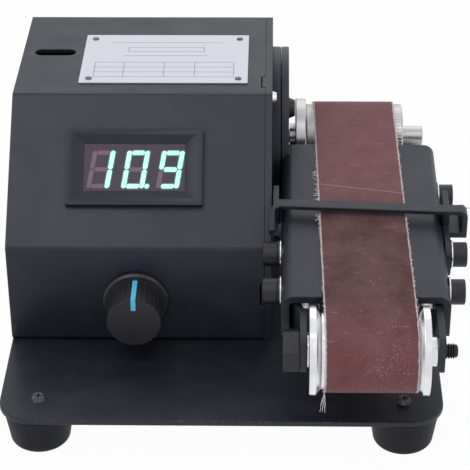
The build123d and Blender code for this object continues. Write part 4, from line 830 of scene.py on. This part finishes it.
def sanding_belt():
    """The belt as a band of cloth: a grid bent round both drums, with frayed edges and a woven back."""
    bm = bmesh.new()
    bm.loops.layers.uv.new("UVMap")
    bmesh.ops.create_grid(bm, x_segments=belt_steps, y_segments=belt_rows, size=0.5, calc_uvs=True)
    for vert in bm.verts:
        length = (vert.co.x + 0.5) * loop_length
        side = 1 if vert.co.y > 0 else -1
        place = belt_line(length % loop_length)[0]
        spread = vert.co.y * belt_width
        if abs(vert.co.y) > 0.499:
            rough = noise.noise(Vector((place.y * 1500, place.z * 1500, side)))
            spread -= side * fray * (0.5 + 0.5 * rough)
        place.x = belt_middle_x + drift(place) + spread
        vert.co = place
    bmesh.ops.remove_doubles(bm, verts=bm.verts, dist=0.002 * MM)
    for face in bm.faces:
        face.smooth = True
    bm.faces.ensure_lookup_table()
    face = bm.faces[0]
    face.normal_update()
    if face.normal.dot(arm_up) < 0:
        bmesh.ops.reverse_faces(bm, faces=bm.faces)
    materials = (finishes["abrasive_cloth"], woven_backing(), frayed)
    piece = new_piece(
        "abrasive_band", bm, None, *materials, replaces=("sanding_belt",), slot="abrasive_cloth"
    )
    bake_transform(piece)
    wall = piece.modifiers.new("cloth thickness", "SOLIDIFY")
    wall.thickness = belt_thick
    wall.offset = -1
    wall.material_offset = 1
    wall.material_offset_rim = 2
    return piece


band = sanding_belt()


def tubes(name, strands, radius, sides=0, steps=12, capped=False):
    """Smooth round tubes in one mesh. A strand is its list of points."""
    curve = bpy.data.curves.new(name, "CURVE")
    curve.dimensions = "3D"
    curve.bevel_depth = radius
    curve.bevel_resolution = sides
    curve.resolution_u = steps
    curve.use_fill_caps = capped
    for points in strands:
        spline = curve.splines.new("NURBS")
        spline.points.add(len(points) - 1)
        for point, place in zip(spline.points, points):
            point.co = (*place, 1)
        spline.order_u = 3
        spline.use_endpoint_u = True
    holder = bpy.data.objects.new(name, curve)
    mesh = bpy.data.meshes.new_from_object(holder)
    bpy.data.objects.remove(holder)
    return mesh


def fibres(name, strands, radius):
    """Loose fibres of the belt."""
    piece = new_piece(name, tubes(name, strands, radius, steps=3), None, frayed, slot="abrasive_cloth")
    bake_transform(piece)
    return piece


chance = random.Random(11)
edge_sides = ((belt_low.x, -1), (belt_high.x, 1))


def edge_fuzz(count, start, end, longest, sides):
    """Short fibres that stand off the belt's edges between two lengths along it."""
    strands = []
    for _ in range(count):
        edge_x, side = chance.choice(sides)
        place, normal = belt_line(chance.uniform(start, end))
        place.x = edge_x + drift(place) - side * 0.2 * MM
        along = normal.cross(Vector((1, 0, 0)))
        reach = chance.uniform(0.25, 1.0) * longest * MM
        lean = along * chance.uniform(-0.8, 0.8) * MM
        lift = normal * chance.uniform(-0.1, 0.35) * MM
        root = place - normal * 0.3 * MM
        tip = root + Vector((side * reach, 0, 0)) + lean + lift
        strands.append([root, root + Vector((side * reach * 0.6, 0, 0)) + lean * 0.2, tip])
    return strands


def hanging_threads():
    """Longer threads that have worked loose: a bunch at the idler's left and a few along the left edge."""
    strands = []
    bunches = [
        (run_length + idler_arc * 0.76, 7, 8.5),
        (run_length * 0.3, 3, 2.0),
        (run_length * 0.45, 4, 2.6),
        (run_length * 0.56, 3, 3.4),
    ]
    for length, count, longest in bunches:
        for _ in range(count):
            place, normal = belt_line(length + chance.uniform(-1.2, 1.2) * MM)
            place.x = belt_low.x + drift(place) + 0.1 * MM
            fall = chance.uniform(0.5, 1) * longest * MM
            strand = [place - normal * 0.3 * MM]
            stray = Vector((chance.uniform(-0.5, 0.35), chance.uniform(-0.3, 0.1), 0)) * MM
            for step in range(1, 6):
                sway = Vector((chance.uniform(-0.35, 0.35), chance.uniform(-0.2, 0.2), 0)) * MM
                drop = Vector((0, 0, -fall * step / 5))
                strand.append(strand[0] + normal * 0.5 * MM + stray * step * 0.6 + drop + sway)
            strands.append(strand)
    return strands


short_fibres = edge_fuzz(900, 0, loop_length, 0.7, edge_sides)
short_fibres += edge_fuzz(46, 0.34 * run_length, 0.58 * run_length, 1.9, edge_sides[:1])
fuzz = fibres("belt_edge_fuzz", short_fibres, 0.055 * MM)
threads = fibres("belt_loose_threads", hanging_threads(), 0.075 * MM)


# ---------------------------------------------------------------- tension spring
spring_turns = 9
spring_wire = 0.5 * MM


def tension_spring():
    """A coil spring between its anchor and the fork."""
    low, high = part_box("tension_spring")
    centre = (low + high) / 2
    coil_radius = (high.x - low.x) / 2 - spring_wire
    half = (high.y - low.y) / 2 - coil_radius * abs(arm_along.z) - spring_wire
    steps = spring_turns * 12
    coil = []
    for step in range(steps + 1):
        share = step / steps
        turn = tau * spring_turns * share
        place = centre + arm_along * half * (2 * share - 1)
        coil.append(place + coil_radius * (Vector((cos(turn), 0, 0)) + arm_up * sin(turn)))
    mesh = tubes("coil", [coil], spring_wire, sides=2, capped=True)
    piece = new_piece(
        "coil_spring", mesh, None, finishes["spring_steel"], replaces=("tension_spring",), slot="spring_steel"
    )
    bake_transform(piece)


tension_spring()


# ---------------------------------------------------------------- display
def slope_frame(centre, normal):
    """A matrix that lays a drawing on a sloping face: X to the right, Y up the face."""
    right = Vector((1, 0, 0))
    up = normal.cross(right)
    turn = Matrix((right, up, normal)).transposed().to_4x4()
    return Matrix.Translation(centre) @ turn


digit_height = 12.3 * MM
digit_width = 6.3 * MM
digit_pitch = 12.1 * MM
digit_lean = 0.145
digits_right = 0.45 * MM
digits_down = 0.7 * MM
bar_thick = 1.6 * MM
bar_gap = 0.22 * MM
bar_lift = 0.05 * MM
glow_thick = 2.3 * MM
glow_lift = 0.025 * MM
# Which of the seven bars of each digit are lit: top, upper right, lower right, bottom, lower left,
# upper left, middle
lit_bars = ("0110000", "1111110", "1111011")


def display_bar(bm, centre, length, upright, thick):
    """One bar of a digit: a strip with its corners cut off."""
    made = bmesh.ops.create_grid(bm, x_segments=1, y_segments=1, size=0.5)["verts"]
    reach = length - bar_gap + thick - bar_thick
    bmesh.ops.scale(bm, verts=made, vec=(reach, thick, 1))
    cut = bmesh.ops.bevel(
        bm,
        geom=made,
        offset=thick * 0.3,
        segments=1,
        profile=0.5,
        affect="VERTICES",
        material=-1,
    )["verts"]
    if upright:
        bmesh.ops.rotate(bm, verts=cut, matrix=Matrix.Rotation(pi / 2, 3, "Z"))
    bmesh.ops.translate(bm, verts=cut, vec=centre)


def finish_bars(bm, name, material, dot_radius, lift):
    """Lean the bars, give them thickness and lay them on the display."""
    if dot_radius:
        dot = bmesh.ops.create_circle(bm, cap_ends=True, radius=dot_radius, segments=24)["verts"]
        bmesh.ops.translate(bm, verts=dot, vec=(digit_width / 2 + bar_thick * 1.1, -digit_height / 2, 0))
    for vert in bm.verts:
        vert.co.x += vert.co.y * digit_lean + digits_right
        vert.co.y -= digits_down
    made = bmesh.ops.extrude_face_region(bm, geom=bm.faces[:])["geom"]
    raised = [part for part in made if isinstance(part, bmesh.types.BMVert)]
    bmesh.ops.translate(bm, verts=raised, vec=(0, 0, lift))
    bmesh.ops.recalc_face_normals(bm, faces=bm.faces)
    bmesh.ops.transform(bm, matrix=slope_frame(*facet("meter_display", (0, -0.66, 0.75))), verts=bm.verts)
    new_piece(name, bm, "base", material, slot="display_window")


def display_digits():
    """Three leaning digits of seven bars: the lit ones, the glow round them and the unlit ones."""
    lit, unlit, glow = bmesh.new(), bmesh.new(), bmesh.new()
    half_w, half_h = digit_width / 2, digit_height / 2
    across = digit_width - bar_thick
    upright_length = half_h + bar_thick / 2
    upright_y = upright_length / 2
    bars = [
        ((0, half_h), across, False),
        ((half_w, upright_y), upright_length, True),
        ((half_w, -upright_y), upright_length, True),
        ((0, -half_h), across, False),
        ((-half_w, -upright_y), upright_length, True),
        ((-half_w, upright_y), upright_length, True),
        ((0, 0), across, False),
    ]
    for place, pattern in enumerate(lit_bars):
        for bar, ((x, y), length, upright) in enumerate(bars):
            centre = Vector(((place - 1) * digit_pitch + x, y, 0))
            display_bar(lit if pattern[bar] == "1" else unlit, centre, length, upright, bar_thick)
            if pattern[bar] == "1":
                display_bar(glow, centre, length, upright, glow_thick)
    lit_light = segment_light("lit_bar", tint(136, 240, 192), tint(192, 255, 228), 0.85)
    glow_light = segment_light("bar_glow", tint(40, 106, 82), tint(52, 132, 102), 0.25)
    # The unlit bars still carry a faint painted glow, an emission of 0.03.
    unlit_faint_glow = segment_light("unlit_bar_painted_glow", tint(104, 78, 96), tint(120, 92, 112), 0.03)
    finish_bars(lit, "display_lit", lit_light, bar_thick * 0.52, bar_lift)
    finish_bars(glow, "display_glow", glow_light, glow_thick * 0.52, glow_lift)
    finish_bars(unlit, "display_unlit", unlit_faint_glow, 0, bar_lift)


display_digits()


# ---------------------------------------------------------------- nameplate ruling
def nameplate_rules():
    """A blank ruled table and an empty title box, printed on the nameplate."""
    low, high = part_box("nameplate")
    width = high.x - low.x
    line = 0.16 * MM
    bm = bmesh.new()

    def rule(x0, y0, x1, y1):
        centre = Vector(((x0 + x1) / 2, (y0 + y1) / 2, high.z))
        size = Matrix.Diagonal((x1 - x0 + line, y1 - y0 + line, 0.03 * MM, 1))
        bmesh.ops.create_cube(bm, size=1, matrix=Matrix.Translation(centre) @ size)

    def ruled_box(left, bottom, right, top):
        for y in (bottom, top):
            rule(left, y, right, y)
        for x in (left, right):
            rule(x, bottom, x, top)

    left, right = low.x + 0.08 * width, low.x + 0.915 * width
    bottom, row = low.y + 4.7 * MM, 3.95 * MM
    ruled_box(left, bottom, right, bottom + 3 * row)
    for count in (1, 2):
        rule(left, bottom + count * row, right, bottom + count * row)
    for share in (0.21, 0.5, 0.72):
        x = left + share * (right - left)
        rule(x, bottom, x, bottom + 3 * row)
    ruled_box(low.x + 0.27 * width, high.y - 14.2 * MM, low.x + 0.73 * width, high.y - 10.5 * MM)
    rule(low.x + 0.16 * width, high.y - 6.6 * MM, low.x + 0.84 * width, high.y - 6.6 * MM)
    rule(low.x + 0.24 * width, high.y - 17.6 * MM, low.x + 0.76 * width, high.y - 17.6 * MM)
    new_piece("nameplate_rules", bm, "base", printed_ink(), slot="plate_aluminium")


nameplate_rules()


# ---------------------------------------------------------------- stage, light and camera
floor_white = 0.97            # share of plain white in what is seen of the floor
room_light = 0.5              # the room's strength as light, against 1 where it is seen
lamp_target = Vector((0, 0, 0.04))


def seen_directly(finish):
    """1 for what the camera sees, straight or in gloss or glass, and 0 for the light that spreads."""
    paths = finish.node("ShaderNodeLightPath")
    outputs = paths.socket.node.outputs
    kinds = ("Is Camera Ray", "Is Glossy Ray", "Is Transmission Ray")
    wires = [Wire(finish, outputs[name]) for name in kinds]
    return finish.maths("MAXIMUM", finish.maths("MAXIMUM", wires[0], wires[1]), wires[2])


def stage_floor():
    """A pale floor that reads nearly white and keeps a faint shadow."""
    bm = bmesh.new()
    bmesh.ops.create_grid(bm, x_segments=1, y_segments=1, size=4)
    finish = Finish("pale_floor", base_color=(0.86, 0.86, 0.87, 1), roughness=0.9)
    share = seen_directly(finish) * floor_white
    glow = finish.node("ShaderNodeEmission", inputs={"Color": (1, 1, 1, 1), "Strength": 1.0})
    inputs = {0: share, 1: Wire(finish, finish.shader.outputs["BSDF"]), 2: glow}
    mixed = finish.node("ShaderNodeMixShader", inputs=inputs)
    output = next(n for n in finish.tree.nodes if n.type == "OUTPUT_MATERIAL")
    finish.feed(output.inputs["Surface"], mixed)
    mesh = bpy.data.meshes.new("floor")
    bm.to_mesh(mesh)
    bm.free()
    mesh.materials.append(finish.material)
    floor = add_to_scene("floor", mesh)
    floor.location.z = -0.02 * MM


def surroundings():
    """A white room: full white where it is seen, softer as light."""
    world = bpy.data.worlds.new("white_room")
    bpy.context.scene.world = world
    world.use_nodes = True
    tree = world.node_tree
    tree.nodes.clear()
    room = Finish.__new__(Finish)
    room.tree = tree
    strength = room.ramp(seen_directly(room), 0, 1, room_light, 1.0)
    glow = room.node("ShaderNodeBackground", inputs={"Color": (1, 1, 1, 1), "Strength": strength})
    output = tree.nodes.new("ShaderNodeOutputWorld")
    room.feed(output.inputs["Surface"], glow)


def soft_lamp(name, place, size, power):
    """A square soft box that looks at the machine."""
    lamp = bpy.data.lights.new(name, "AREA")
    lamp.size = size
    lamp.energy = power
    holder = add_to_scene(name, lamp)
    holder.location = place
    holder.rotation_euler = (lamp_target - Vector(place)).to_track_quat("-Z", "Y").to_euler()


def camera():
    """A long lens, a little left of the machine and well above it, looking down at its front."""
    lens = bpy.data.cameras.new("camera")
    lens.lens = 146.27
    lens.sensor_width = 36.0
    lens.clip_start = 0.01
    lens.clip_end = 20.0
    holder = add_to_scene("camera", lens)
    pitch, yaw, roll = radians(31.147), radians(-1.477), radians(-0.530)
    ahead = Vector((sin(yaw) * cos(pitch), cos(yaw) * cos(pitch), -sin(pitch)))
    level = Vector((cos(yaw), -sin(yaw), 0))
    rise = level.cross(ahead)
    right = cos(roll) * level + sin(roll) * rise
    up = cos(roll) * rise - sin(roll) * level
    turn = Matrix((right, up, -ahead)).transposed().to_4x4()
    holder.matrix_world = Matrix.Translation((0.01427, -0.58278, 0.39758)) @ turn
    bpy.context.scene.camera = holder


stage_floor()
surroundings()
soft_lamp("key_light", (-0.55, -0.5, 1.3), 0.9, 5.5)
soft_lamp("fill_light", (0.9, -0.4, 0.9), 0.8, 1.5)
soft_lamp("back_light", (0.1, 1.0, 0.8), 1.0, 1.2)
camera()
bpy.context.scene.view_settings.view_transform = "Standard"
